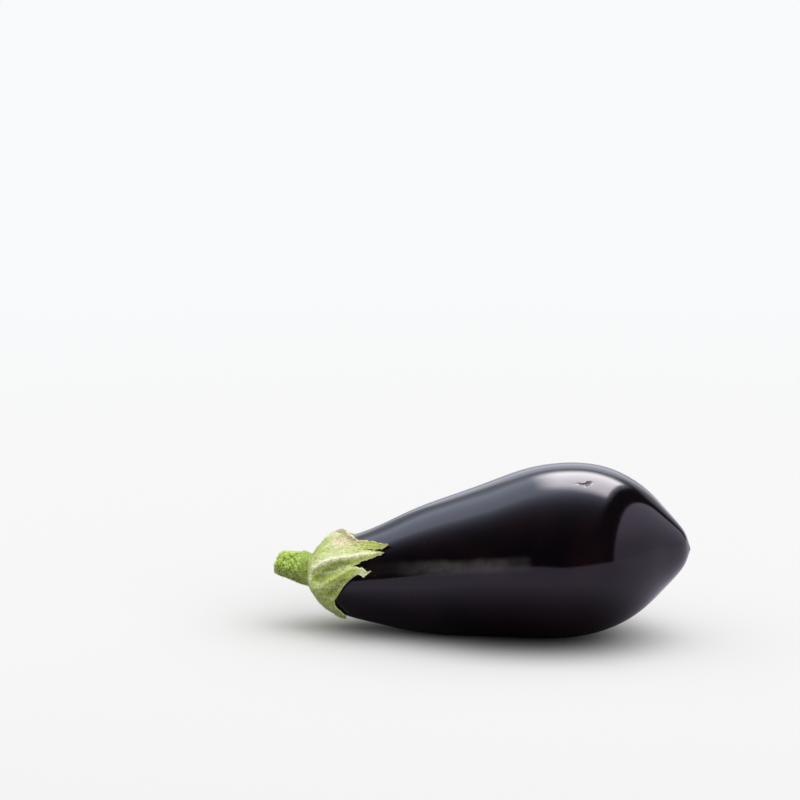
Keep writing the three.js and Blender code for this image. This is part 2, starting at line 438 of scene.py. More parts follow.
def coated(tree: Tree, base: object, coats: list[tuple[Node | Socket, float, str]]) -> Node:
    """Lays coats of colour over a base, one after the other.

    Args:
        tree: The node tree.
        base: The colour underneath: linear RGBA, or the node that gives it.
        coats: What masks each coat, how much of it shows at most, and its hex colour.

    Returns:
        The node of the last coat, with the colour as its third output.
    """
    for mask, most, colour in coats:
        shown = add_node(tree, MATH, MULTIPLY, {0: mask, 1: most})
        base = add_node(tree, "ShaderNodeMix", MIX, {0: shown, 6: base, 7: linear(colour)})
    return base


def embossed(tree: Tree, layers: list[tuple[Node | Socket, float]]) -> Node:
    """Bends a surface's normals by layers of fine relief, each on top of the one before.

    Args:
        tree: The node tree.
        layers: What gives each layer's height, 0 to 1, and its depth in millimetres.

    Returns:
        The node of the last layer.
    """
    below: dict[int | str, object] = {}
    for height, depth in layers:
        bent = add_node(tree, "ShaderNodeBump", links={"Distance": depth * MM, "Height": height, **below})
        below = {"Normal": bent}
    return bent


@dataclass(frozen=True)
class WaxySkin:
    """Aubergine skin, grown smooth under a thin wax bloom: nearly black, with sharp mirrored highlights."""

    dark: str = "#070405"
    warm: str = "#12080a"
    # A grey band of painted reflection, as of a bright edge, along the side that faces -Y.
    painted_reflection: str = "#4d4947"
    cork: str = "#8d7a5c"
    pit: str = "#241a14"
    speck: str = "#8f8577"
    wound: str = "#3a2c20"
    ior: float = 1.42  # plant wax
    tint: Triple = (0.97, 0.88, 1.0)  # thin wax sends back a little less green
    roughness: Pair = (0.055, 0.11)
    # How much duller the painted reflection band, the scar and the pricked crease are than the skin around
    # them.
    dullness: Triple = (0.25, 0.6, 0.55)
    reflection_band_level: float = 0.0419  # the painted reflection band's height above the floor at the middle of the fruit
    reflection_band_slope: float = -0.124  # how the band climbs towards the blossom end
    # The creases that meet in the notch: degrees about +Z, length and width in millimetres.
    creases: tuple[Triple, ...] = ((40, 3.8, 1.4), (226, 3.2, 1.2), (186, 8.0, 0.8), (98, 2.4, 0.7))
    # Depths in millimetres of the skin's swells, streaks, grain, creases and corky scar.
    depths: tuple[float, float, float, float, float] = (0.2, 0.012, 0.0016, 0.34, 0.35)

    def material(self, tip: Vector, crease: Vector) -> Material:
        """Builds the skin's material.

        Args:
            tip: The middle of the blossom scar.
            crease: The middle of the small star-shaped crease.

        Returns:
            The material.
        """
        material, tree, shader = new_material("waxy_aubergine_skin")
        place = add_node(tree, "ShaderNodeTexCoord").outputs["Object"]

        # Deep purple-black that warms to brown in broad patches: the skin is never one flat black.
        broad = add_node(tree, NOISE, links={"Vector": place, "Scale": PER_MM / 30})
        patches = add_node(tree, RANGE, EASE, {0: broad, 1: 0.35, 2: 0.7})
        reflection_band = self.reflection_band_mask(tree, place)
        grain, scar, hole = self.scar_masks(tree, place, tip)
        star = self.star_mask(tree, place, crease)
        brown = add_node(tree, RANGE, EASE, {0: star, 1: 0.3, 2: 0.8, 3: 0, 4: 0.85})
        # The grey band is painted reflection; the other coats are the skin's own colours.
        coats = [
            (patches, 1.0, self.warm),
            (reflection_band, 0.7, self.painted_reflection),
            (self.pore_mask(tree, place), 1.0, self.speck),
            (scar, 1.0, self.cork),
            (hole, 1.0, self.pit),
            (brown, 1.0, self.wound),
        ]
        colour = coated(tree, linear(self.dark), coats)

        # The gloss changes a little from spot to spot; the painted reflection band, the scar and the crease
        # are dull.
        cloud = add_node(tree, NOISE, links={"Vector": place, "Scale": PER_MM / 2.2, "Detail": 3})
        low, high = self.roughness
        rough = add_node(tree, RANGE, EASE, {0: cloud, 1: 0.3, 2: 0.7, 3: low, 4: high})
        for mask, duller in zip((reflection_band, scar, brown), self.dullness):
            rough = add_node(tree, MATH, MADD, {0: mask, 1: duller, 2: rough})

        # Broad swells, long shallow streaks and a fine grain bend the mirrored lights as real skin does.
        swell = add_node(tree, NOISE, links={"Vector": place, "Scale": PER_MM / 26, "Detail": 1})
        long_way = add_node(
            tree, "ShaderNodeMapping", {"vector_type": "TEXTURE"}, {"Vector": place, "Scale": (9, 1, 1)}
        )
        streak = add_node(tree, NOISE, links={"Vector": long_way, "Scale": PER_MM / 3.2, "Detail": 2})
        fine = add_node(tree, NOISE, links={"Vector": place, "Scale": PER_MM / 0.9, "Detail": 2})
        sunk = add_node(tree, MATH, SUBTRACT, {0: 1.0, 1: star})
        corky = add_node(tree, MATH, MULTIPLY, {0: grain, 1: scar})
        normal = embossed(tree, list(zip((swell, streak, fine, sunk, corky), self.depths)))
        feed(tree, shader, {"Base Color": colour, "Roughness": rough, "Normal": normal})
        feed(tree, shader, {"IOR": self.ior, "Specular Tint": (*self.tint, 1.0)})
        return material

    def pore_mask(self, tree: Tree, place: Socket) -> Node:
        """A few pale pores, far apart, which only a close look finds.

        Args:
            tree: The node tree.
            place: Object coordinates.

        Returns:
            The node of the mask, 0 to 1.
        """
        cells = add_node(tree, "ShaderNodeTexVoronoi", links={"Vector": place, "Scale": PER_MM / 7.5})
        dots = add_node(tree, RANGE, EASE, {0: cells, 1: 0.012, 2: 0.03, 3: 0.35, 4: 0})
        lot = add_node(tree, "ShaderNodeSeparateColor", links={0: cells.outputs["Color"]})
        chosen = add_node(tree, RANGE, EASE, {0: lot, 1: 0.78, 2: 0.8})
        return add_node(tree, MATH, MULTIPLY, {0: dots, 1: chosen})

    def scar_masks(self, tree: Tree, place: Socket, tip: Vector) -> tuple[Node, Node, Node]:
        """The corky blossom scar: a ragged disc with a pit.

        Args:
            tree: The node tree.
            place: Object coordinates.
            tip: Its middle.

        Returns:
            The nodes of its grain, of the disc's mask and of the pit's mask.
        """
        away = add_node(tree, VECTOR, {"operation": "DISTANCE"}, {0: place, 1: tip})
        fine = {"Vector": place, "Scale": PER_MM / 0.5, "Detail": 3, "Roughness": 0.7}
        grain = add_node(tree, NOISE, links=fine)
        ragged = add_node(tree, MATH, MADD, {0: grain, 1: 0.9 * MM, 2: away})
        scar = add_node(tree, RANGE, EASE, {0: ragged, 1: 1.5 * MM, 2: 2.1 * MM, 3: 1, 4: 0})
        hole = add_node(tree, RANGE, EASE, {0: away, 1: 0.3 * MM, 2: 0.8 * MM, 3: 1, 4: 0})
        return grain, scar, hole

    def reflection_band_mask(self, tree: Tree, place: Socket) -> Socket:
        """A dull band of painted grey reflection along the side that faces -Y, with a fainter patch after its
        right end.

        Args:
            tree: The node tree.
            place: Object coordinates.

        Returns:
            The band's socket, 0 to 1.
        """
        axes = add_node(tree, "ShaderNodeSeparateXYZ", links={0: place}).outputs
        wander = add_node(tree, NOISE, links={"Vector": place, "Scale": PER_MM / 11, "Detail": 1})
        shift = add_node(tree, MATH, MADD, {0: wander, 1: 2.4 * MM, 2: -1.2 * MM})
        level = add_node(tree, MATH, MADD, {0: axes[0], 1: self.reflection_band_slope, 2: axes[2]})
        off = add_node(tree, MATH, ADD, {0: level, 1: shift})
        off = add_node(tree, MATH, SUBTRACT, {0: off, 1: self.reflection_band_level})
        off = add_node(tree, MATH, ABSOLUTE, {0: off})
        band = add_node(tree, RANGE, EASE, {0: off, 1: 0.9 * MM, 2: 4.3 * MM, 3: 1, 4: 0})

        # Along the fruit it fades in, brightens, breaks off and leaves the fainter patch.
        along = add_node(tree, MATH, MADD, {0: shift, 1: 0.6, 2: axes[0]})
        gates = [
            add_node(tree, RANGE, EASE, {0: at, 1: low, 2: high, 3: before, 4: after})
            for at, low, high, before, after in (
                (along, -0.045, -0.012, 0.12, 0.9),
                (along, 0.013, 0.0185, 1, 0.42),
                (along, 0.024, 0.029, 1, 0),
                (along, -0.056, -0.046, 0, 1),
                (axes[1], -0.02, -0.015, 1, 0),
            )
        ]
        cloudy = add_node(tree, NOISE, links={"Vector": place, "Scale": PER_MM / 4.5, "Detail": 2})
        gates.append(add_node(tree, RANGE, EASE, {0: cloudy, 1: 0.3, 2: 0.6, 3: 0.7, 4: 1}))
        mask = band
        for gate in gates:
            mask = add_node(tree, MATH, MULTIPLY, {0: mask, 1: gate})
        return mask.outputs[0]

    def star_mask(self, tree: Tree, place: Socket, middle: Vector) -> Socket:
        """A small notch with creases running out of it, as where the skin was pricked while it grew.

        Args:
            tree: The node tree.
            place: Object coordinates.
            middle: Where they cross.

        Returns:
            The depth's socket: 0 on the smooth skin, 1 in the notch.
        """
        local = add_node(tree, VECTOR, SUBTRACT, {0: place, 1: middle})
        reach = add_node(tree, VECTOR, LENGTH, {0: local}).outputs["Value"]
        wobble = add_node(tree, NOISE, links={"Vector": place, "Scale": PER_MM / 2.5})
        warp = add_node(tree, MATH, MADD, {0: wobble, 1: 1.8 * MM, 2: -0.9 * MM})
        near = add_node(tree, MATH, ADD, {0: reach, 1: warp})
        deepest = add_node(tree, RANGE, EASE, {0: near, 1: 0.3 * MM, 2: 1.6 * MM, 3: 1, 4: 0})
        for degrees, length, wide in self.creases:
            turned = math.radians(degrees)
            across = Vector((-math.sin(turned), math.cos(turned), 0.0))
            ahead = Vector((math.cos(turned), math.sin(turned), 0.0))
            off = add_node(tree, VECTOR, DOT, {0: local, 1: across}).outputs[1]
            on = add_node(tree, VECTOR, DOT, {0: local, 1: ahead}).outputs[1]
            off = add_node(tree, MATH, ADD, {0: off, 1: warp})
            off = add_node(tree, MATH, ABSOLUTE, {0: off})
            groove = add_node(tree, RANGE, EASE, {0: off, 1: 0.0, 2: wide * MM, 3: 0.9, 4: 0})
            fade = add_node(tree, RANGE, EASE, {0: on, 1: 0.8 * MM, 2: length * MM, 3: 1, 4: 0})
            one_way = add_node(tree, RANGE, EASE, {0: on, 1: -0.5 * MM, 2: 0.0})
            for gate in (fade, one_way):
                groove = add_node(tree, MATH, MULTIPLY, {0: groove, 1: gate})
            deepest = add_node(tree, MATH, MAXIMUM, {0: deepest, 1: groove})
        return deepest.outputs[0]


@dataclass(frozen=True)
class FeltedLeaf:
    """Speckled sepal tissue under short felt, with painted highlights on its folds and painted shade in its
    hollows.
    """

    # The hollow colour is painted shade and the crest colour a painted highlight.
    hollow: str = "#8a9b2e"
    body: str = "#b4c558"
    crest: str = "#fbf9d4"
    pale: str = "#ced2ab"
    fleck: str = "#56781c"
    mote: str = "#e2ebbd"
    groove: str = "#e6d66c"
    edge: str = "#e6e4ae"
    tip: str = "#c9a074"
    blush: str = "#fbdcc8"
    neck: str = "#93ae42"
    roughness: float = 0.75
    sheen: float = 0.3
    # Cells per metre of the blots, of the tone from tuft to tuft, of the puckers and of the fuzz.
    mottle_scale: float = 385.0
    tuft_scale: float = 1700.0
    pucker_scale: float = 900.0
    fuzz_scale: float = 2800.0
    depths: Triple = (0.32, 0.09, 0.2)  # of puckers, fuzz and tufts, in millimetres

    def material(self) -> Material:
        """Builds the calyx's material, which reads what the mesh has painted on its vertices."""
        material, tree, shader = new_material("felted_sepal")
        place = add_node(tree, "ShaderNodeTexCoord").outputs["Object"]
        crest, hollow, groove, tip, rim, neck, vein, pallor_and_painted_light, blotch = (
            add_node(tree, "ShaderNodeAttribute", {"attribute_name": name}).outputs["Fac"]
            for name in CALYX_MARKS
        )
        uneven = {"Vector": place, "Scale": self.mottle_scale, "Detail": 3, "Roughness": 0.6}
        mottle = add_node(tree, NOISE, links=uneven)
        drift = add_node(tree, MATH, MADD, {0: mottle, 1: 0.8, 2: -0.4})

        # Green body, with painted shade, darker and greener, in the hollows and a painted highlight, pale,
        # along the folds' crests.
        deep = add_node(tree, MATH, ADD, {0: hollow, 1: drift})
        deep = add_node(tree, RANGE, EASE, {0: deep, 1: 0.05, 2: 0.8})
        high = add_node(tree, MATH, ADD, {0: crest, 1: drift})
        high = add_node(tree, RANGE, EASE, {0: high, 1: 0.3, 2: 0.95})

        # Painted light, with some of the tissue's own pallor, pales the upper lobe's lit face and the front
        # lobe's outer half; cream blotches lie near the upper lobe's top edge.
        patch = add_node(tree, RANGE, EASE, {0: mottle, 1: 0.25, 2: 0.6, 3: 0.55, 4: 1})
        washed = add_node(tree, MATH, MULTIPLY, {0: pallor_and_painted_light, 1: patch})
        cream = add_node(tree, NOISE, links={"Vector": place, "Scale": PER_MM / 6, "Detail": 2})
        cream = add_node(tree, RANGE, EASE, {0: cream, 1: 0.36, 2: 0.54, 3: 0.25, 4: 1})
        cream = add_node(tree, MATH, MULTIPLY, {0: cream, 1: blotch})

        # Dark flecks between bright felt tips: the grainy look of the whole cap.
        flecks = self.fleck_mask(tree, place, crest, pallor_and_painted_light)
        motes = self.mote_mask(tree, place)
        coats = [
            (deep, 1.0, self.hollow),
            (high, 1.0, self.crest),
            (vein, 0.35, self.crest),
            (washed, 1.0, self.pale),
            (cream, 1.0, self.blush),
            (flecks, 1.0, self.fleck),
            (motes, 1.0, self.mote),
        ]
        colour = coated(tree, linear(self.body), coats)

        # Fine uneven tone from tuft to tuft.
        uneven = {"Vector": place, "Scale": self.tuft_scale, "Detail": 2, "Roughness": 0.7}
        tuft = add_node(tree, NOISE, links=uneven)
        tuft = add_node(tree, RANGE, EASE, {0: tuft, 1: 0.3, 2: 0.7, 3: 0.72, 4: 1.18})
        colour = add_node(tree, VECTOR, SCALE, {0: colour, "Scale": tuft})

        # Yellow-green grooves, pale cut edges, tips dried to tan, and a greener neck on the stalk.
        dried = add_node(tree, MATH, MADD, {0: drift, 1: 0.2, 2: tip})
        dried = add_node(tree, RANGE, EASE, {0: dried, 1: 0.84, 2: 1.0})
        green = add_node(tree, MATH, ADD, {0: neck, 1: drift})
        green = add_node(tree, RANGE, EASE, {0: green, 1: 0.35, 2: 0.7})
        coats = [(groove, 0.8, self.groove), (rim, 0.75, self.edge)]
        coats += [(dried, 1.0, self.tip), (green, 1.0, self.neck)]
        colour = coated(tree, colour, coats)

        # Puckers, tufts and pits of the felt catch the light one by one.
        uneven = {"Vector": place, "Scale": self.pucker_scale, "Detail": 3, "Roughness": 0.6}
        pucker = add_node(tree, NOISE, links=uneven)
        fuzz = add_node(tree, NOISE, links={"Vector": place, "Scale": self.fuzz_scale, "Detail": 2})
        relief = add_node(tree, MATH, SUBTRACT, {0: motes, 1: flecks})
        normal = embossed(tree, list(zip((pucker, fuzz, relief), self.depths)))
        feed(tree, shader, {"Base Color": colour, "Roughness": self.roughness, "Normal": normal})
        feed(tree, shader, {"Sheen Weight": self.sheen, "Sheen Roughness": 0.5})
        return material

    def fleck_mask(self, tree: Tree, place: Socket, crest: Socket, pallor_and_painted_light: Socket) -> Node:
        """Dark flecks in drifts, fewer on the crests and where the tissue is paled by its own pallor and
        painted light.

        Args:
            tree: The node tree.
            place: Object coordinates.
            crest: How near a point is to a fold's crest.
            pallor_and_painted_light: How washed out it is.

        Returns:
            The node of the mask, 0 to 1.
        """
        cells = add_node(tree, "ShaderNodeTexVoronoi", links={"Vector": place, "Scale": PER_MM / 1.15})
        flecks = add_node(tree, MATH, MADD, {0: crest, 1: 0.2, 2: cells})
        flecks = add_node(tree, RANGE, EASE, {0: flecks, 1: 0.18, 2: 0.5, 3: 1, 4: 0})
        spread = add_node(tree, NOISE, links={"Vector": place, "Scale": PER_MM / 3.2, "Detail": 2})
        spread = add_node(tree, RANGE, EASE, {0: spread, 1: 0.36, 2: 0.56, 3: 0.15, 4: 1})
        calm = add_node(tree, MATH, MADD, {0: pallor_and_painted_light, 1: -0.8, 2: 1.0})
        for gate in (spread, calm):
            flecks = add_node(tree, MATH, MULTIPLY, {0: flecks, 1: gate})
        return flecks

    def mote_mask(self, tree: Tree, place: Socket) -> Node:
        """Bright tips of felt, on about every third tuft.

        Args:
            tree: The node tree.
            place: Object coordinates.

        Returns:
            The node of the mask, 0 to 1.
        """
        tufts = add_node(tree, "ShaderNodeTexVoronoi", links={"Vector": place, "Scale": PER_MM / 0.85})
        motes = add_node(tree, RANGE, EASE, {0: tufts, 1: 0.15, 2: 0.4, 3: 0.6, 4: 0})
        lot = add_node(tree, "ShaderNodeSeparateColor", links={0: tufts.outputs["Color"]})
        lot = add_node(tree, RANGE, EASE, {0: lot, 1: 0.5, 2: 0.7})
        return add_node(tree, MATH, MULTIPLY, {0: motes, 1: lot})


@dataclass(frozen=True)
class WartyStem:
    """Green stalk covered in soft warts, with a dried cut end and a ring of woody strands."""

    pit: str = "#40600f"
    body: str = "#94ac2f"
    wart: str = "#c3cd66"
    hair: str = "#dfe9b0"
    cut: str = "#a3b048"
    ring: str = "#8b8f4a"
    roughness: float = 0.7
    sheen: float = 0.25
    # Cells per metre of the blots, of the hair tips, of the skin's grain and of the fuzz.
    mottle_scale: float = 620.0
    tuft_scale: float = 1100.0
    grain_scale: float = 1250.0
    fuzz_scale: float = 3300.0
    depths: Pair = (0.16, 0.07)  # of grain and fuzz, in millimetres
    painted_light_levels: Pair = (0.024, 0.0345)  # heights in metres where the painted light on top starts and is full
    # Tints of the painted shade underneath and of the painted light on top.
    painted_shade_tint: Triple = (0.8, 0.76, 0.6)
    painted_light_tint: Triple = (2.8, 1.66, 2.4)

    def material(self) -> Material:
        """Builds the stem's material, which reads wart and cut from the mesh."""
        material, tree, shader = new_material("warty_stalk")
        place = add_node(tree, "ShaderNodeTexCoord").outputs["Object"]
        wart, cut = (
            add_node(tree, "ShaderNodeAttribute", {"attribute_name": name}).outputs["Fac"]
            for name in STEM_MARKS
        )
        uneven = {"Vector": place, "Scale": self.mottle_scale, "Detail": 3, "Roughness": 0.6}
        mottle = add_node(tree, NOISE, links=uneven)
        drift = add_node(tree, MATH, MADD, {0: mottle, 1: 1.2, 2: -0.6})

        # Dark pits between the warts, mid green on their flanks, paler on their tops.
        lit = add_node(tree, MATH, ADD, {0: wart, 1: drift})
        low = add_node(tree, RANGE, EASE, {0: lit, 1: -0.2, 2: 0.45})
        high = add_node(tree, RANGE, EASE, {0: lit, 1: 0.6, 2: 1.5})
        tufts = add_node(tree, "ShaderNodeTexVoronoi", links={"Vector": place, "Scale": self.tuft_scale})
        motes = add_node(tree, RANGE, EASE, {0: tufts, 1: 0.12, 2: 0.4, 3: 0.5, 4: 0})
        coats = [(low, 1.0, self.body), (high, 1.0, self.wart), (motes, 1.0, self.hair)]
        colour = coated(tree, linear(self.pit), coats)

        # The cut has dried to a duller green, with a darker ring of strands.
        inner = add_node(tree, RANGE, EASE, {0: cut, 1: 0.35, 2: 0.5})
        outer = add_node(tree, RANGE, EASE, {0: cut, 1: 0.6, 2: 0.75, 3: 1, 4: 0})
        strands = mottle
        for gate in (inner, outer):
            strands = add_node(tree, MATH, MULTIPLY, {0: strands, 1: gate})
        face = coated(tree, linear(self.cut), [(strands, 1.0, self.ring)])
        on_cut = add_node(tree, RANGE, EASE, {0: cut, 1: 0.05, 2: 0.25})
        colour = add_node(tree, "ShaderNodeMix", MIX, {0: on_cut, 6: colour, 7: face})

        # Painted light and shade: yellower and paler above, deep green underneath.
        level = add_node(tree, "ShaderNodeSeparateXYZ", links={0: place}).outputs[2]
        low, high = self.painted_light_levels
        light_and_shade_tint = add_node(tree, RANGE, EASE, {0: level, 1: low, 2: high})
        light_and_shade_tint = add_node(tree, "ShaderNodeMix", MIX, {0: light_and_shade_tint, 6: (*self.painted_shade_tint, 1), 7: (*self.painted_light_tint, 1)})
        colour = add_node(tree, VECTOR, MULTIPLY, {0: colour, 1: light_and_shade_tint})

        # Skin grain over the modelled warts.
        uneven = {"Vector": place, "Scale": self.grain_scale, "Detail": 3, "Roughness": 0.6}
        grain = add_node(tree, NOISE, links=uneven)
        fuzz = add_node(tree, NOISE, links={"Vector": place, "Scale": self.fuzz_scale, "Detail": 2})
        normal = embossed(tree, list(zip((grain, fuzz), self.depths)))
        feed(tree, shader, {"Base Color": colour, "Roughness": self.roughness, "Normal": normal})
        feed(tree, shader, {"Sheen Weight": self.sheen})
        return material


@dataclass(frozen=True)
class PlantHair:
    """Short stiff hairs of the felt: pale tips that soften an edge against the dark."""

    root: str = "#a9bd62"
    tip: str = "#e3ecb8"
    roughness: float = 0.6

    def material(self) -> Material:
        """Builds the hairs' material, with a slight change of tone from hair to hair."""
        material, tree, shader = new_material("plant_hair")
        place = add_node(tree, "ShaderNodeTexCoord").outputs["Object"]
        tone = add_node(tree, NOISE, links={"Vector": place, "Scale": PER_MM})
        tone = add_node(tree, RANGE, EASE, {0: tone, 1: 0.3, 2: 0.7})
        colour = coated(tree, linear(self.root), [(tone, 1.0, self.tip)])
        feed(tree, shader, {"Base Color": colour, "Roughness": self.roughness})
        return material


# ---- Pieces ----------------------------------------------------------------------------------------------


@dataclass
class Fruit:
    """The berry: a ring of points carried along its length, then refined and given its small dents."""

    form: FruitForm
    finish: WaxySkin = WaxySkin()
    rings: int = 120
    sides: int = 96
    scar_at: Pair = (1.2, 60.0)  # millimetres before the skin's far end, and angle
    crease_at: Pair = (149.2, 61.5)  # millimetres along the skin, and angle

    def shape(self) -> Piece:
        """Models the fruit from one circle, extruded and resized ring by ring, with closed ends."""
        form = self.form
        share = (1 - np.cos(np.linspace(0, math.pi, self.rings + 2))) / 2
        stops = share[1:-1] * form.along[-1]
        x, radius, z = (np.interp(stops, form.along, form.profile[:, k]) * MM for k in range(3))
        x = x + form.start_x * MM
        z = z - form.sink * MM
        deselect_all()
        bpy.ops.mesh.primitive_circle_add(
            vertices=self.sides,
            radius=radius[0],
            fill_type="TRIFAN",
            location=(x[0], 0, z[0]),
            rotation=(0, math.pi / 2, 0),
        )
        fruit = bpy.context.object
        fruit.name = fruit.data.name = "fruit_skin"
        bpy.ops.object.transform_apply(location=True, rotation=True, scale=True)
        bpy.ops.object.mode_set(mode="EDIT")
        bpy.ops.mesh.select_all(action="SELECT")
        for k in range(1, self.rings):
            grow = radius[k] / radius[k - 1]
            step = (x[k] - x[k - 1], 0, z[k] - z[k - 1])
            bpy.ops.mesh.extrude_region_move(TRANSFORM_OT_translate={"value": step})
            bpy.ops.transform.resize(value=(1, grow, grow), center_override=(x[k], 0, z[k]))
        bpy.ops.object.mode_set(mode="OBJECT")
        return fruit

    def build(self) -> Piece:
        """Models, refines, dents and dresses the fruit."""
        fruit = self.shape()
        subdivide(fruit, 1)
        self.settle(fruit)
        before_end, turn = self.scar_at
        places = ((self.form.along[-1] - before_end, turn), self.crease_at)
        tip, crease = (Vector(self.form.skin(np.array([d]), np.array([a]))[0]) for d, a in places)
        finish_piece(fruit, "fruit", self.finish.material(tip, crease))
        return fruit

    def settle(self, fruit: Piece) -> None:
        """Puts each vertex on the fluted, slightly wavy skin and presses the belly flat where it rests.

        Args:
            fruit: The refined fruit.
        """
        form = self.form
        points = places_of(fruit) / MM
        x = points[:, 0] - form.start_x
        centre = np.interp(x, form.profile[:, 0], form.profile[:, 2]) - form.sink
        off_y, off_z = points[:, 1], points[:, 2] - centre
        angle = np.degrees(np.arctan2(off_z, -off_y))
        radius = np.hypot(off_y, off_z)
        grow = 1 + form.unevenness(x, angle, radius) / np.maximum(radius, 1)
        points[:, 1] *= grow
        points[:, 2] = np.maximum(centre + off_z * grow, 0)
        move_to(fruit, points * MM)


@dataclass(frozen=True)
class Fold:
    """A fold, hollow or groove of the calyx: stations of its line, with its height there in millimetres.

    A station holds distance along the skin, angle and height; for a fold that runs around the fruit it holds
    angle, distance and height.
    """

    line: tuple[Triple, ...]
    before: float  # width of its slope towards lower angles, or towards the stem
    after: float  # width of its slope towards higher angles, or towards the tips
    power: float = 1.4
    around: bool = False
    shine: float = 1.0  # how strong the painted highlight along its line is

    def rise(self, form: FruitForm, distance: Array, angle: Array) -> tuple[Array, Array]:
        """How high the fold stands.

        Args:
            form: The skin that it follows.
            distance: Millimetres along the skin.
            angle: Degrees about the fruit's length.

        Returns:
            Its height in millimetres, and the nearness to its line, 0 to 1.
        """
        line = np.array(self.line)
        facing = line[:, 0 if self.around else 1].mean()
        turned = (angle - facing + 540) % 360 - 180 + facing
        along, fade = (turned, 5.0) if self.around else (distance, 3.0)
        middle = np.interp(along, line[:, 0], line[:, 1])
        height = np.interp(along, line[:, 0], line[:, 2])
        height *= smoothstep(along, line[0, 0] - fade, line[0, 0] + fade / 3)
        height *= 1 - smoothstep(along, line[-1, 0] - fade / 3, line[-1, 0] + fade)
        radius = np.interp(distance, form.along, form.profile[:, 1])
        off = distance - middle if self.around else np.radians(turned - middle) * radius
        near = np.clip(1 - np.abs(off) / np.where(off < 0, self.before, self.after), 0, 1) ** self.power
        return height * near, near**1.6 * np.clip(height, 0, 1) * self.shine


SHOULDER_RADIUS = 22  # the fruit's mean radius under the calyx, in millimetres
EDGE_EASING = 60  # how many times the kinks of a lobe's edge are eased


@dataclass(frozen=True)
class Lobe:
    """A lobe of the calyx between two notches.

    Both of its edges run from a notch to the tip. A station holds distance along the skin, angle and height.
    """

    start: tuple[Triple, ...]
    end: tuple[Triple, ...]
    columns: int
    curl: Curl = Curl.HUGS
    bend: float = 1.0  # above 1, its face is hollow next to its second edge
    pallor_and_painted_light: float = 0.0  # how pale its lit face is, by its own pallor and by painted light
    dry: float = 1.0  # how tan its tip is
    painted_light_outer: float = 0.0  # how much painted light pales its outer half

    def edge(self, stations: tuple[Triple, ...], share: Array) -> Array:
        """Points of one edge.

        Args:
            stations: The edge's stations.
            share: How far along it, 0 at the notch and 1 at the tip.

        Returns:
            Distance, angle and height, one row a point.
        """
        points = np.array(stations, float)
        flat = np.stack([points[:, 0], np.radians(points[:, 1]) * SHOULDER_RADIUS], 1)
        run = np.concatenate([[0], np.cumsum(np.linalg.norm(np.diff(flat, axis=0), axis=1))])
        fine = np.linspace(0, run[-1], 200)
        dense = np.stack([np.interp(fine, run, points[:, k]) for k in range(3)], 1)
        for _ in range(EDGE_EASING):
            dense[1:-1] = (dense[:-2] + 2 * dense[1:-1] + dense[2:]) / 4
        return np.stack([np.interp(share * run[-1], fine, dense[:, k]) for k in range(3)], -1)


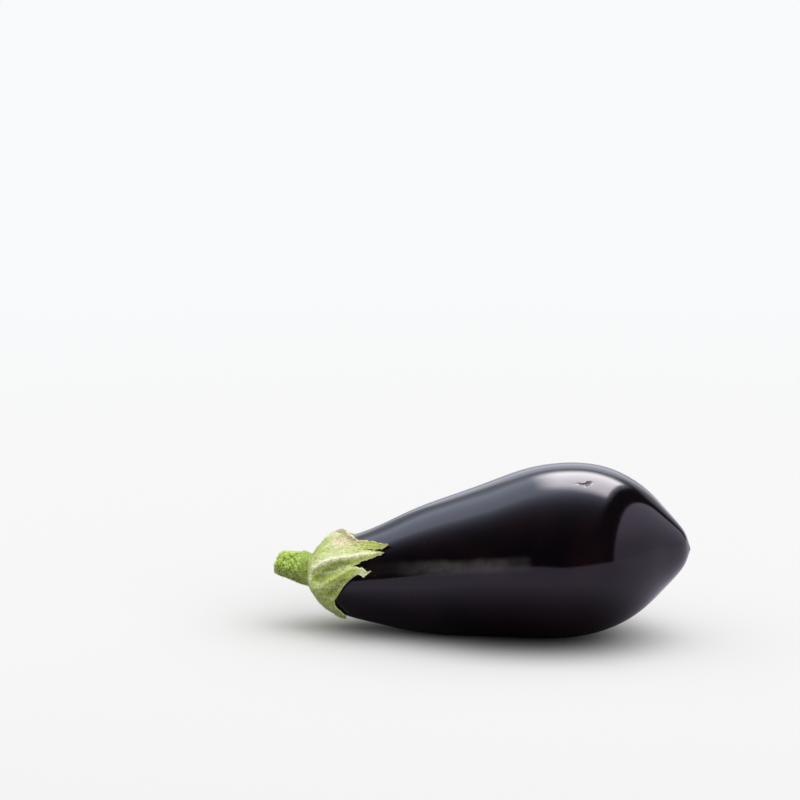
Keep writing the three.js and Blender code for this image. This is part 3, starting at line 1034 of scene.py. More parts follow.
@dataclass
class Calyx:
    """The cap of sepals: a cup hugging the shoulder, whose lobes are folded, veined, ragged and curled."""

    form: FruitForm
    finish: FeltedLeaf = FeltedLeaf()
    gap: float = 0.35
    crown: Pair = (8.0, 2.55)  # where the cup leaves the stalk, and how high off the skin
    neck: Triple = (4.4, 7.95, 30.4)  # where it starts on the stalk: distance, radius and height
    crown_drop: Pair = (0.3, 1.35)  # how much lower it leaves there underneath, and above
    neck_lean: Pair = (0.9, 0.4)  # which way it sets out there: along the stalk, and outwards
    neck_stands: Pair = (0.05, -0.35)  # how far its outer and inner face stand off that radius
    neck_shift: float = 0.2  # how far behind the fruit's axis the stalk stands there
    thickness: Triple = (2.0, 1.1, 0.8)  # at the crown, the notches and the tips
    ragged: Pair = (0.22, 0.7)  # how much its edges waver: millimetres along, degrees round
    puckers: tuple[tuple[float, float, int], ...] = ((0.16, 1.9, 3), (0.1, 0.9, 5))  # height, size, seed
    vein_height: float = 0.1
    neck_rows: int = 16
    cup_rows: int = 46
    lobe_rows: int = 52
    lobes: tuple[Lobe, ...] = (
        # The front lobe: a blade that peels away, hooks down and ends torn off square.
        Lobe(
            (
                (24.3, -25.2, 1.6), (24.8, -18.2, 1.6), (26.2, -11, 1.6), (27.8, -4.5, 1.7), (30.1, 2.5, 1.9),
                (32.3, 8.8, 2.2), (35, 12, 3.0), (37.3, 15.2, 4.1), (39.6, 14.4, 5.0), (41.0, 12.4, 5.5),
                (42.2, 11.0, 5.6),
            ),
            (
                (34.9, 25.2, 1.7), (36.4, 24, 2.3), (38.3, 22.6, 2.6), (40.2, 21.4, 3.0), (41.4, 18.8, 3.5),
                (43.4, 16.4, 3.9), (45.4, 16.4, 4.0),
            ),
            40,
            Curl.HOOKS,
            dry=0.3,
            painted_light_outer=1.0,
        ),
        # The upper front lobe, split in two points.
        Lobe(
            (
                (34.9, 25.2, 1.7), (37.4, 28, 1.6), (40, 30, 1.55), (44.7, 31.5, 1.5), (48.8, 33, 1.5),
                (50.6, 34, 1.5),
            ),
            ((36.4, 44.2, 1.8), (41.3, 42.3, 1.75), (45.4, 39, 1.65), (47.7, 36.6, 1.6), (50.4, 34.8, 1.5)),
            24,
            pallor_and_painted_light=0.6,
            dry=0.85,
        ),
        Lobe(
            (
                (36.4, 44.2, 1.8), (41, 43.0, 1.75), (46, 40.2, 1.65), (49.3, 38.6, 1.6), (51, 39.6, 1.7),
                (52.6, 41.4, 1.8),
            ),
            (
                (22, 104, 3.2), (25.5, 92, 4.8), (28.5, 80.6, 5.6), (30.1, 73.5, 5.2), (30.9, 67.6, 4.1),
                (32.1, 64.8, 3), (33.7, 62.3, 2.6), (36.3, 58.4, 2.25), (40.2, 55, 2.05), (44.5, 50.6, 1.95),
                (48, 46.3, 1.9), (52.8, 42, 1.9),
            ),
            50,
            bend=1.5,
            pallor_and_painted_light=0.45,
        ),
        # The lobes at the back.
        Lobe(
            ((22, 104, 3.2), (25, 116, 2.4), (30, 127, 2.4), (35.5, 137, 3.2), (38.6, 142, 4.0)),
            ((24, 154, 1.7), (28, 153, 1.9), (33, 149, 2.3), (37, 146, 3.0), (39, 144, 3.8)),
            34,
            Curl.LIFTS,
        ),
        Lobe(
            ((24, 154, 1.7), (28.5, 163, 1.7), (34, 171, 1.9), (40, 177, 2.4), (45, 182, 2.6)),
            ((25, 210, 1.7), (29, 203, 1.9), (34, 196, 2.4), (39, 190, 3.2), (44.8, 184, 3.1)),
            34,
            Curl.LIFTS,
        ),
        Lobe(
            ((25, 210, 1.7), (29.5, 219, 1.7), (35, 227, 2.2), (40.3, 234.5, 2.9)),
            ((22, 266, 1.5), (26, 258, 1.6), (32, 249, 1.9), (36.5, 242, 2.3), (40.5, 236.5, 2.6)),
            34,
            Curl.LIFTS,
        ),
        # The lobe underneath.
        Lobe(
            ((22, 266, 1.5), (25.5, 277, 1.5), (28, 288, 1.5), (29.4, 300, 1.5)),
            (
                (24.3, 334.8, 1.6), (24.5, 327.2, 1.6), (25.9, 321.2, 1.6), (27.6, 313.2, 1.6),
                (29.5, 302.5, 1.5),
            ),
            36,
        ),
    )
    # Each fold rises from the sheet and is painted with highlight along its crest, as strong as its shine.
    folds: tuple[Fold, ...] = (
        # The ledge above the dark valley, which runs out into the lower point of the split lobe.
        Fold(
            (
                (9, 17, 0.3), (13, 22, 0.9), (16.2, 25.8, 1.5), (19.6, 30.5, 2.0), (23.7, 34, 2.4),
                (28.6, 35.5, 2.4), (33.5, 35.4, 1.9), (38.7, 36.4, 1.3), (43.7, 35.9, 0.9), (49, 34, 0.3),
            ),
            3.2, 7.0, 1.15,
        ),
        # The fold of the front lobe, which runs along its upper edge.
        Fold(
            (
                (9, -26, 0.3), (13, -17, 1.0), (18.8, -6.8, 2.0), (21.6, 2, 2.6), (25.4, 9.2, 2.8),
                (29.5, 16, 2.6), (32.5, 19.5, 2.3), (35.5, 21.6, 1.5), (38, 20, 0.7),
            ),
            5.5, 4.2, 1.1, shine=0.5,
        ),
        # The shoulder round the upper face, which lies hollow behind it.
        Fold(
            (
                (24, 21.5, 0.3), (33, 18.4, 0.9), (41, 17.7, 1.1), (51, 18.2, 1.0), (61, 19.4, 0.8),
                (70, 21.6, 0.7), (79, 23.3, 0.8), (92, 23, 0.7), (106, 21, 0.4), (118, 18, 0.2),
            ),
            8.0, 3.0, 1.1, True, 0.35,
        ),
        # A low band where the cap leaves the stalk, painted pale with highlight.
        Fold(
            ((-30, 10.5, 0.3), (-8, 11.5, 0.7), (15, 12, 0.7), (35, 12.5, 0.6), (55, 13, 0.3)),
            6.0, 3.0, 1.0, True, 1.1,
        ),
        # The top edge that climbs from there to the peak.
        Fold(
            ((17, 104, 0.6), (20, 98, 1.1), (23, 92, 1.2), (26, 85, 0.9), (29, 80, 0.2)),
            7.0, 9.0, 1.2, shine=0.9,
        ),
        # The midribs of the lobes at the back and underneath.
        Fold(((9, 126, 0.6), (18, 130, 1.5), (28, 136, 1.3), (37, 142, 0.5)), 4.0, 4.0, shine=0.6),
        Fold(((9, 178, 0.5), (18, 181, 1.7), (30, 182, 1.6), (42, 183, 0.5)), 4.0, 4.0, shine=0.6),
        Fold(((9, 238, 0.5), (18, 238, 1.4), (28, 238, 1.3), (38, 236, 0.5)), 4.0, 4.0, shine=0.6),
        Fold(((12, 296, 0.1), (19, 297, 0.3), (24, 298, 0.4), (28, 301, 0.2)), 4.0, 4.5, shine=0.6),
    )
    hollows: tuple[Fold, ...] = (
        # Sunk and painted with shade: the valley between the ledge and the front lobe, the shade under it,
        # the back's valleys.
        Fold(
            (
                (14, 5, 0.4), (18.6, 11, 1.0), (21.5, 19, 1.3), (25, 25, 1.3), (28.5, 27.8, 1.1),
                (32, 28.8, 0.7), (35, 28, 0.3),
            ),
            4.2, 3.2, 0.9,
        ),
        Fold(((19, -26, 0.3), (22.5, -13, 0.5), (25, -3, 0.6), (28.5, 6, 0.7), (31, 10, 0.4)), 3.6, 2.4, 0.9),
        Fold(((22, 152, 0.2), (30, 152, 0.4)), 3.0, 3.0),
        Fold(((22, 208, 0.2), (30, 208, 0.4)), 3.0, 3.0),
        Fold(((18, 268, 0.2), (26, 268, 0.4)), 3.0, 3.0),
    )
    grooves: tuple[Fold, ...] = (
        Fold(
            ((31.5, 60.5, 0.3), (36.4, 54.6, 0.6), (41, 51, 0.6), (45.5, 46.9, 0.5), (50, 43, 0.2)),
            1.3, 1.3, 1.0,
        ),
        Fold(
            ((34, 51, 0.3), (38.5, 47.4, 0.55), (43, 44.6, 0.55), (47, 42.2, 0.4), (50, 41, 0.15)),
            1.2, 1.2, 1.0,
        ),
        Fold(((30, 39, 0.1), (36, 39.6, 0.3), (42, 38.6, 0.35), (47, 36, 0.2)), 1.0, 1.2, 1.0),
        Fold(((30, 31, 0.15), (35, 31.4, 0.35), (41, 32.6, 0.35), (46, 33.2, 0.15)), 1.2, 1.2, 1.0),
        Fold(
            ((24.5, 1.5, 0.3), (27.9, 8.2, 0.5), (30.7, 13.5, 0.55), (33.3, 17.2, 0.5), (36.5, 18.6, 0.35)),
            1.3, 1.1, 1.0,
        ),
    )

    def edges(self, lobe: Lobe, share: Array, seed: int) -> tuple[Array, Array]:
        """Both edges of a lobe, a little ragged between its notches and its tip.

        Args:
            lobe: The lobe.
            share: How far along them, 0 at the notches and 1 at the tip.
            seed: Picks how they waver.

        Returns:
            Distance, angle and height on the first and on the second edge.
        """
        start, end = lobe.edge(lobe.start, share), lobe.edge(lobe.end, share)
        if end[..., 1].mean() < start[..., 1].mean() - 180:
            end = end + np.array([0, 360, 0])
        free = smoothstep(share, 0.0, 0.12) * (1 - smoothstep(share, 0.94, 1.0))
        first, second = (self.waver(share * 9 + 3 * seed + shift) for shift in (0, 40))
        along, turn = self.ragged
        start = start + np.stack([along * free * first, turn * free * second, 0 * free], -1)
        end = end + np.stack([along * free * second, turn * free * first, 0 * free], -1)
        return start, end

    def relief(self, distance: Array, angle: Array) -> dict[str, Array]:
        """The folds, hollows and grooves at places of the sheet.

        Args:
            distance: Millimetres along the skin.
            angle: Degrees about the fruit's length.

        Returns:
            How far they rise, sink and cut in millimetres, and how much of each a place shows, 0 to 1.
        """
        rises, sinks, cuts = (
            [fold.rise(self.form, distance, angle) for fold in folds]
            for folds in (self.folds, self.hollows, self.grooves)
        )
        return {
            "rise": np.max([height for height, _ in rises], axis=0),
            "sunk": np.max([height for height, _ in sinks], axis=0),
            "cut": np.max([height for height, _ in cuts], axis=0),
            "crest": np.max([near for _, near in rises], axis=0),
            "hollow": np.max([np.clip(height / 0.7, 0, 1) for height, _ in sinks], axis=0),
            "groove": np.max([near for _, near in cuts], axis=0),
        }

    def sheet(self, lobe: Lobe, column: Array, row: Array, seed: int) -> dict[str, Array]:
        """Every number of the sheet at places given by column and row.

        Args:
            lobe: The lobe.
            column: Share of the way across it, 0 to 1.
            row: 0 to 1 from the crown to the rim of the cup, and 1 to 2 on to the tip.
            seed: Picks how its edges waver.

        Returns:
            Distance, angle, height of the outer face, thickness and the painted values.
        """
        share = np.clip(row - 1, 0, 1)
        start, end = self.edges(lobe, share, seed)
        mixed = start + (end - start) * column[..., None]
        distance, angle = mixed[..., 0], mixed[..., 1]
        height = start[..., 2] + (end[..., 2] - start[..., 2]) * column**lobe.bend

        # Between the crown and the rim the cup runs down over the shoulder, lower above and underneath.
        cup = np.clip(row, 0, 1)
        distance = np.where(row < 1, self.crown[0] + (distance - self.crown[0]) * cup, distance)
        up = np.sin(np.radians(angle))
        under, above = self.crown_drop
        crown = self.crown[1] - under * smoothstep(-up, 0.2, 0.9) - above * smoothstep(up, 0.55, 0.95)
        height = np.where(row < 1, crown + (height - crown) * smoothstep(cup, 0, 1), height)

        # How far each place is from the nearest edge.
        radius = np.interp(distance, self.form.along, self.form.profile[:, 1])
        width = np.hypot((end - start)[..., 0], np.radians((end - start)[..., 1]) * radius)
        off_edge = np.minimum(column, 1 - column) * width
        off_edge = np.minimum(off_edge, (1 - share) * 20)
        off_edge = np.where(row <= 1, 9.0, off_edge + 9.0 * (1 - smoothstep(share, 0.0, 0.1)))
        inland = smoothstep(off_edge, 0, 1.6)
        edge = 1 - smoothstep(off_edge, 0.0, 0.9)

        relief = self.relief(distance, angle)
        ripple = lobe.curl.value * np.abs(2 * column - 1) * (1 - np.cos(3 * math.pi * share))
        ripple = ripple * np.minimum(1, 3 - 3 * share)
        outer = height + relief["rise"] * (0.25 + 0.75 * inland) + ripple
        outer = outer - relief["cut"] - relief["sunk"] * inland
        top, notch, tip = self.thickness
        thick = top + (notch - top) * smoothstep(distance, 8, 28)
        thick = thick + (tip - thick) * share
        veins = np.abs(np.cos(np.radians(angle * 9 + 50 * np.sin(distance / 8 + seed)))) ** 8
        # The upper lobe's lit face, paled partly by painted light, and its top edge with cream blotches.
        lit_face = smoothstep(distance, 17, 21) * (1 - smoothstep(distance, 35, 41))
        lit_face *= smoothstep(angle, 33, 40)
        top_edge = smoothstep(distance, 20, 25) * (1 - smoothstep(distance, 40, 45))
        top_edge *= smoothstep(angle, 50, 58)
        return {
            "distance": distance,
            "angle": angle,
            "outer": np.maximum(outer, 1.0) - 0.12 * edge,
            "thick": thick * (1 - 0.35 * edge),
            # crest marks where painted highlight goes, hollow where painted shade goes.
            "crest": relief["crest"],
            "hollow": relief["hollow"] * (1 - 0.8 * relief["crest"]),
            "groove": relief["groove"],
            "tip": share * lobe.dry,
            "rim": edge,
            "neck": np.zeros_like(distance),
            "vein": veins * smoothstep(distance, 10, 16) * inland,
            "pallor_and_painted_light": lobe.pallor_and_painted_light * lit_face + 1.6 * lobe.painted_light_outer * smoothstep(share, 0.3, 0.5),
            "blotch": np.minimum(1, 1.45 * lobe.pallor_and_painted_light) * top_edge,
        }

    @staticmethod
    def waver(at: Array) -> Array:
        """A wandering value of about -1 to 1."""
        return (np.sin(at * 1.7) + np.sin(at * 2.9 + 1.3) + 0.7 * np.sin(at * 5.3 + 0.4)) / 2.2

    def build(self) -> Piece:
        """Models and dresses the calyx."""
        sheet, cup, faces = self.cup_and_lobes()
        inner_height = np.maximum(sheet["outer"] - sheet["thick"], self.gap)
        outer = self.form.skin(sheet["distance"], sheet["angle"], sheet["outer"])
        inner = self.form.skin(sheet["distance"], sheet["angle"], inner_height)

        # The neck's rings come after all other points.
        neck = self.neck_rings(outer, inner, cup, sheet["angle"])
        rows, columns = neck[0].shape[:2]
        ring = len(outer) + np.arange(rows * columns).reshape(rows, columns)
        ring = np.concatenate([ring, ring[:, :1]], axis=1)
        faces += self.quads(np.concatenate([ring, cup[:1]]))
        outer = np.concatenate([outer, neck[0].reshape(-1, 3)])
        inner = np.concatenate([inner, neck[1].reshape(-1, 3)])
        for key in sheet:
            sheet[key] = np.concatenate([sheet[key], np.zeros(rows * columns)])
        sheet["neck"][-rows * columns :] = np.repeat(np.linspace(1, 0, rows + 1)[:-1], columns)

        calyx = self.closed_sheet(outer, inner, faces)
        for name in CALYX_MARKS:
            paint(calyx, name, np.tile(sheet[name], 2))
        upper = np.concatenate([np.ones(len(outer)), np.zeros(len(inner))])
        paint(calyx, "upper", upper)
        self.roughen(calyx, upper, np.tile(sheet["vein"], 2), np.tile(sheet["neck"], 2))
        finish_piece(calyx, "calyx", self.finish.material())
        return calyx

    def cup_and_lobes(self) -> tuple[dict[str, Array], Array, list[tuple[int, ...]]]:
        """The sheet's numbers over the cup and then over each lobe.

        Returns:
            The numbers by name, the vertex numbers of the cup's rows, and the faces of one side.
        """
        parts: list[dict[str, Array]] = []
        cups: list[Array] = []
        count = 0
        for seed, lobe in enumerate(self.lobes):
            across = np.arange(lobe.columns) / lobe.columns
            row, column = np.meshgrid(np.linspace(0, 1, self.cup_rows), across, indexing="ij")
            parts.append(self.sheet(lobe, column.ravel(), row.ravel(), seed))
            cups.append(count + np.arange(row.size).reshape(row.shape))
            count += row.size
        cup = np.concatenate(cups, axis=1)
        cup = np.concatenate([cup, cup[:, :1]], axis=1)
        faces: list[tuple[int, ...]] = self.quads(cup)
        first = 0
        for seed, lobe in enumerate(self.lobes):
            across = np.linspace(0, 1, lobe.columns + 1)
            row, column = np.meshgrid(1 + np.linspace(0, 1, self.lobe_rows + 1)[1:], across, indexing="ij")
            parts.append(self.sheet(lobe, column.ravel(), row.ravel(), seed))
            block = count + np.arange(row.size).reshape(row.shape)
            count += row.size
            faces += self.quads(np.concatenate([cup[-1:, first : first + lobe.columns + 1], block]))
            first += lobe.columns
        sheet = {key: np.concatenate([part[key] for part in parts]) for key in parts[0]}
        return sheet, cup, faces

    def neck_rings(self, outer: Array, inner: Array, cup: Array, angle: Array) -> tuple[Array, Array]:
        """Rings that carry the cup up on to the stalk.

        Args:
            outer: Points of the outer face.
            inner: Points of the inner face.
            cup: Vertex numbers of the cup's rows.
            angle: Degrees of every point.

        Returns:
            The rings of the outer and of the inner face, from the stalk to the cup.
        """
        turned = np.radians(angle[cup[0, :-1]])
        back, radius, middle = self.neck
        wander = 0.45 * self.waver(turned * 3) + 0.25 * self.waver(turned * 7 + 2)
        result = []
        lean, spread = self.neck_lean
        for points, stand in zip((outer, inner), self.neck_stands):
            foot = np.stack(
                [
                    self.form.start_x - back + wander,
                    self.neck_shift - np.cos(turned) * (radius + stand),
                    middle - self.form.sink + np.sin(turned) * (radius + stand),
                ],
                1,
            ) * MM
            first, second = points[cup[0, :-1]], points[cup[1, :-1]]
            reach = np.linalg.norm(first - foot, axis=1)[:, None]
            leave = second - first
            leave = leave / np.linalg.norm(leave, axis=1)[:, None] * reach
            rise = np.stack([lean + 0 * turned, -spread * np.cos(turned), spread * np.sin(turned)], 1) * reach
            t = np.linspace(0, 1, self.neck_rows + 1)[:-1, None, None]
            curve = (2 * t**3 - 3 * t**2 + 1) * foot + (t**3 - 2 * t**2 + t) * rise
            curve = curve + (3 * t**2 - 2 * t**3) * first + (t**3 - t**2) * leave
            result.append(curve)
        return result[0], result[1]

    @staticmethod
    def quads(grid: Array) -> list[tuple[int, int, int, int]]:
        """Faces between the rows of a grid of vertex numbers."""
        rows, columns = grid.shape
        return [
            (int(grid[r, c]), int(grid[r + 1, c]), int(grid[r + 1, c + 1]), int(grid[r, c + 1]))
            for r in range(rows - 1)
            for c in range(columns - 1)
        ]

    @staticmethod
    def closed_sheet(outer: Array, inner: Array, faces: list[tuple[int, ...]]) -> Piece:
        """A closed solid between two faces of the same layout.

        Args:
            outer: Points of the outer face.
            inner: Points of the inner face.
            faces: Corner numbers of the outer face's faces.

        Returns:
            The calyx's object.
        """
        count = len(outer)
        closed = list(faces) + [tuple(v + count for v in reversed(f)) for f in faces]
        sides = {(f[k], f[(k + 1) % len(f)]) for f in faces for k in range(len(f))}
        closed += [(b, a, a + count, b + count) for a, b in sorted(sides) if (b, a) not in sides]
        return mesh_piece("calyx_sepals", np.concatenate([outer, inner]), closed)

    def roughen(self, calyx: Piece, upper: Array, veins: Array, neck: Array) -> None:
        """Gives the outer face puckers and low veins.

        Args:
            calyx: The calyx.
            upper: 1 on the outer face and 0 on the inner.
            veins: How near each vertex is to a vein.
            neck: 1 at the calyx's edge on the stalk, 0 on the cup.
        """
        points = places_of(calyx)
        normals = normals_of(calyx)
        pucker = sum(height * smooth_noise(points, size * MM, seed) for height, size, seed in self.puckers)
        pucker += self.vein_height * veins
        move_to(calyx, points + normals * (pucker * MM * upper * (1 - 0.5 * neck))[:, None])


@dataclass
class Stem:
    """The stalk's stump: a spread foot over the crown, five soft ridges, many warts and a slanted cut."""

    form: FruitForm
    finish: WartyStem = WartyStem()
    # Distance from the stem end towards -X, radius and centre height, in millimetres.
    outline: tuple[Triple, ...] = (
        (2.4, 7.3, 30.2), (4.4, 7.85, 30.4), (8, 7.3, 31),
        (12, 6.3, 31.7), (15, 5.9, 32.3), (18.0, 5.6, 32.6),
    )
    foot: tuple[float, ...] = (7.6, 6.8, 5.8, 4.8, 3.8, 2.8, 1.8)
    foot_stands: float = 2.9  # how far the foot's underside stands off the fruit's skin
    bow: float = 0.8
    ridges: int = 5
    ridge: float = 0.3
    ridge_twist: float = 4.0
    swell: float = 0.3  # how uneven its side is between the ridges
    lean: float = 0.42
    rounding: Pair = (1.3, 4.4)  # how far the cut's rim is worn round, on top and underneath
    wart_pitch: float = 1.3
    wart_radius: float = 0.85
    wart_height: float = 0.32
    wart_sizes: Pair = (0.35, 1.2)
    wart_scatter: float = 0.6  # how far a wart strays from its even place, in pitches
    wart_power: float = 1.3
    wart_seed: int = 11
    mean_radius: float = 6.8
    cut_insets: tuple[float, ...] = (0.05, 0.2, 0.35, 0.48, 0.52, 0.6, 0.68, 0.74, 0.82, 0.9, 0.96)
    dish: float = 0.5  # how far the cut's middle has shrunk in
    strands: Triple = (0.25, 0.6, 0.06)  # height, place and width of the cut's ring
    rows: int = 72
    sides: int = 132

    def build(self) -> Piece:
        """Models, refines and dresses the stem."""
        share, x, radius, z = self.sections()
        angles = np.arange(self.sides) * 360 / self.sides - 90
        grid_share, grid_angle = np.meshgrid(share, angles, indexing="ij")
        warts = self.warts(grid_share, grid_angle, radius)
        away = self.reach(x, radius, grid_share, grid_angle, warts)
        side = self.place(x[:, None], z[:, None], grid_share, grid_angle, away)

        # The cut's face, a little hollow, with its ring of strands.
        insets = np.array(self.cut_insets)
        height, at, width = self.strands
        dish = self.dish * (1 - smoothstep(insets, 0.3, 0.95))
        dish -= height * np.exp(-(((insets - at) / width) ** 2))
        cut_share = np.ones((len(insets), self.sides))
        cut = self.place(x[0] - dish[:, None], z[0], cut_share, angles[None, :], away[:1] * insets[:, None])

        # The foot's rings over the fruit's stem end.
        stands = self.foot_stands
        foot = np.stack([self.form.skin(np.full(self.sides, d), angles, stands) / MM for d in self.foot])
        rings = np.concatenate([cut, side, foot])
        poles = np.stack([cut[0].mean(0), self.form.skin(np.zeros(1), np.zeros(1), stands)[0] / MM])
        points = np.concatenate([rings.reshape(-1, 3), poles]) * MM
        stem = mesh_piece("stem_stalk", points, self.faces(len(rings)))
        zeros = np.zeros((len(insets), self.sides))
        ends = np.zeros((len(self.foot), self.sides))
        marks = [zeros, warts, ends], [1 - insets[:, None] * 0.9 + zeros, np.zeros_like(warts), ends]
        for name, blocks in zip(STEM_MARKS, marks):
            self.paint_rings(stem, name, blocks)
        subdivide(stem, 1)
        finish_piece(stem, "stem", self.finish.material())
        return stem

    def sections(self) -> tuple[Array, Array, Array, Array]:
        """The stem's rings, from the cut to the foot.

        Returns:
            Of each ring: share of the way to the cut, distance from the stem end, radius and centre height.
        """
        stations = np.array(self.outline)
        share = np.linspace(1, 0, self.rows)
        where = share * (len(stations) - 1)
        knots = np.arange(len(stations))
        x, radius, z = (np.interp(where, knots, stations[:, k]) for k in range(3))
        for values in (radius, z):
            values[2:-2] = np.convolve(values, np.ones(5) / 5, "valid")
        return share, x, radius, z

    def reach(self, x: Array, radius: Array, share: Array, angle: Array, warts: Array) -> Array:
        """How far the side stands from the stem's centre, with its ridges, warts and worn rim.

        Args:
            x: Distance from the stem end, of every ring.
            radius: Mean radius of every ring.
            share: 0 at the foot, 1 at the cut, for every point.
            angle: Degrees for every point.
            warts: Wart height, 0 to 1, for every point.

        Returns:
            The radius of every point in millimetres.
        """
        top, under = self.rounding
        rounding = top + (under - top) * smoothstep(-np.sin(np.radians(angle)), -0.3, 0.9)
        worn = rounding * (1 - np.sqrt(1 - np.clip(1 - (x[0] - x)[:, None] / rounding, 0, 1) ** 2))
        ridge = self.ridge * np.cos(np.radians(self.ridges * (angle + self.ridge_twist * share)))
        base = radius[:, None] - worn + ridge * smoothstep(share, 0, 0.15)
        lumps = self.wart_height * warts * smoothstep(share, 0.14, 0.26)
        swell = self.swell * np.sin(np.radians(3 * angle + 40)) * np.sin(share * 7.5)
        swell *= smoothstep(share, 0, 0.3)
        return base + lumps + swell

    def place(self, x: object, z: object, share: Array, angle: Array, radius: Array) -> Array:
        """Points of the stem's side or cut face.

        Args:
            x: Distance from the stem end.
            z: Height of the centre.
            share: 0 at the foot, 1 at the cut.
            angle: Degrees about the fruit's length.
            radius: Distance from the centre.

        Returns:
            The points in millimetres.
        """
        turned = np.radians(angle)
        lean = self.lean * radius * np.sin(turned) * smoothstep(share, 0.55, 1)
        bow = self.bow * np.sin(math.pi * share * 0.5)
        px = self.form.start_x - x + lean + 0 * turned
        py = bow - np.cos(turned) * radius
        pz = z - self.form.sink + np.sin(turned) * radius
        return np.stack(np.broadcast_arrays(px, py, pz), -1)

    def warts(self, share: Array, angle: Array, radius: Array) -> Array:
        """Warts set at random with a near-even pitch.

        Args:
            share: 0 at the foot, 1 at the cut, for every point.
            angle: Degrees for every point.
            radius: Mean radius of every ring.

        Returns:
            Wart height, 0 to 1, for every point.
        """
        draw = np.random.default_rng(self.wart_seed)
        length = self.outline[-1][0] - self.outline[0][0]
        girth = 2 * math.pi * self.mean_radius
        rows, columns = int(length / self.wart_pitch), int(girth / self.wart_pitch)
        row, column = np.meshgrid(np.arange(rows), np.arange(columns), indexing="ij")
        row, column = row.ravel(), column.ravel()
        stray = self.wart_scatter
        along = (row + 0.5 + draw.uniform(-stray, stray, row.size)) / rows * length
        turn = (column + 0.5 * (row % 2) + draw.uniform(-stray, stray, row.size)) / columns * 360
        size = draw.uniform(*self.wart_sizes, row.size)
        result = np.zeros(share.shape)
        for d, a, s in zip(along, turn, size):
            off_turn = (angle - a + 540) % 360 - 180
            away = np.hypot(share * length - d, np.radians(off_turn) * radius[:, None])
            away /= self.wart_radius * s
            result = np.maximum(result, s * np.clip(1 - away**2, 0, None) ** self.wart_power)
        return result

    def faces(self, rings: int) -> list[tuple[int, ...]]:
        """Faces of a skin through rings, from the cut's middle to the foot's middle.

        Args:
            rings: How many rings there are.

        Returns:
            The faces.
        """
        n = self.sides
        first, last = rings * n, rings * n + 1
        result = [(first, k, (k + 1) % n) for k in range(n)]
        for r in range(rings - 1):
            for k in range(n):
                j = (k + 1) % n
                result.append((r * n + k, (r + 1) * n + k, (r + 1) * n + j, r * n + j))
        result += [(last, (rings - 1) * n + (k + 1) % n, (rings - 1) * n + k) for k in range(n)]
        return result

    def paint_rings(self, stem: Piece, name: str, blocks: list[Array]) -> None:
        """Paints one value on every ring and on the two poles.

        Args:
            stem: The stem.
            name: The value's name.
            blocks: Its value on the cut's, the side's and the foot's rings.
        """
        rings = np.concatenate(blocks).ravel()
        paint(stem, name, np.concatenate([rings, [rings[0], rings[-1]]]))


@dataclass
class Felt:
    """Short hairs that stand on a piece: each one a slim three-sided spike."""

    finish: PlantHair = PlantHair()
    length: Pair = (0.3, 0.85)
    width: float = 0.09
    root: float = 0.05  # how deep a hair's root sits
    spread: float = 0.35  # how far hairs lean away from upright
    grows_above: float = 0.9  # the least painted value that hairs grow on
    box_clearance: float = 0.01  # how far hairs stay inside the CAD box at the stem's end

    def build(self, host: Piece, node: str, slot: str, count: int, seed: int, layer: str | None) -> Piece:
        """Plants hairs over a piece.

        Args:
            host: The piece they stand on.
            node: The CAD node that they help to replace.
            slot: The record's material slot; not used.
            count: How many hairs.
            seed: Picks their places.
            layer: Painted value that must be high where hairs grow, if any.

        Returns:
            The hairs as one object.
        """
        draw = np.random.default_rng(seed)
        points = places_of(host)
        normals = normals_of(host)
        weight = np.ones(len(points))
        if layer:
            host.data.attributes[layer].data.foreach_get("value", values := np.empty(len(points), np.float32))
            weight = (values > self.grows_above).astype(float)
        chosen = draw.choice(len(points), count, replace=False, p=weight / weight.sum())
        roots = points[chosen]
        aim = normals[chosen] + draw.normal(scale=self.spread, size=(count, 3))
        aim /= np.linalg.norm(aim, axis=1)[:, None]
        side = np.cross(aim, draw.normal(size=(count, 3)))
        side /= np.linalg.norm(side, axis=1)[:, None]
        other = np.cross(aim, side)
        reach = draw.uniform(*self.length, count)[:, None] * MM
        ring = [
            roots - aim * self.root * MM + (side * math.cos(t) + other * math.sin(t)) * self.width / 2 * MM
            for t in (0, 2 * math.pi / 3, 4 * math.pi / 3)
        ]
        tips = roots + aim * reach
        tips[:, 0] = np.maximum(tips[:, 0], CAD_BOX[0][0] + self.box_clearance * MM)
        stacked = np.stack([*ring, tips], 1).reshape(-1, 3)
        faces = []
        for k in range(count):
            b = 4 * k
            faces += [(b, b + 1, b + 3), (b + 1, b + 2, b + 3), (b + 2, b, b + 3), (b, b + 2, b + 1)]
        felt = mesh_piece(f"{node}_felt", stacked, faces)
        finish_piece(felt, node, self.finish.material())
        return felt


# ---- Studio ----------------------------------------------------------------------------------------------


@dataclass(frozen=True)
class Panel:
    """A panel of the studio as the glossy skin mirrors it, in degrees seen from the object.

    Lateral runs from -90 at -X to 90 at +X. Tilt is 0 overhead, -90 at the horizon behind and 90 in front.
    """

    lateral: Pair
    tilt: Pair
    lateral_fade: Pair
    tilt_fade: Pair
    colour: Triple
    decay: float = 0.0  # if set, the panel fades past its last tilt by a factor of e every so many degrees
    rise: float = 0.0  # how much brighter it is at its top
    lean: float = 0.0  # degrees that its front edge comes forward for each degree of lateral


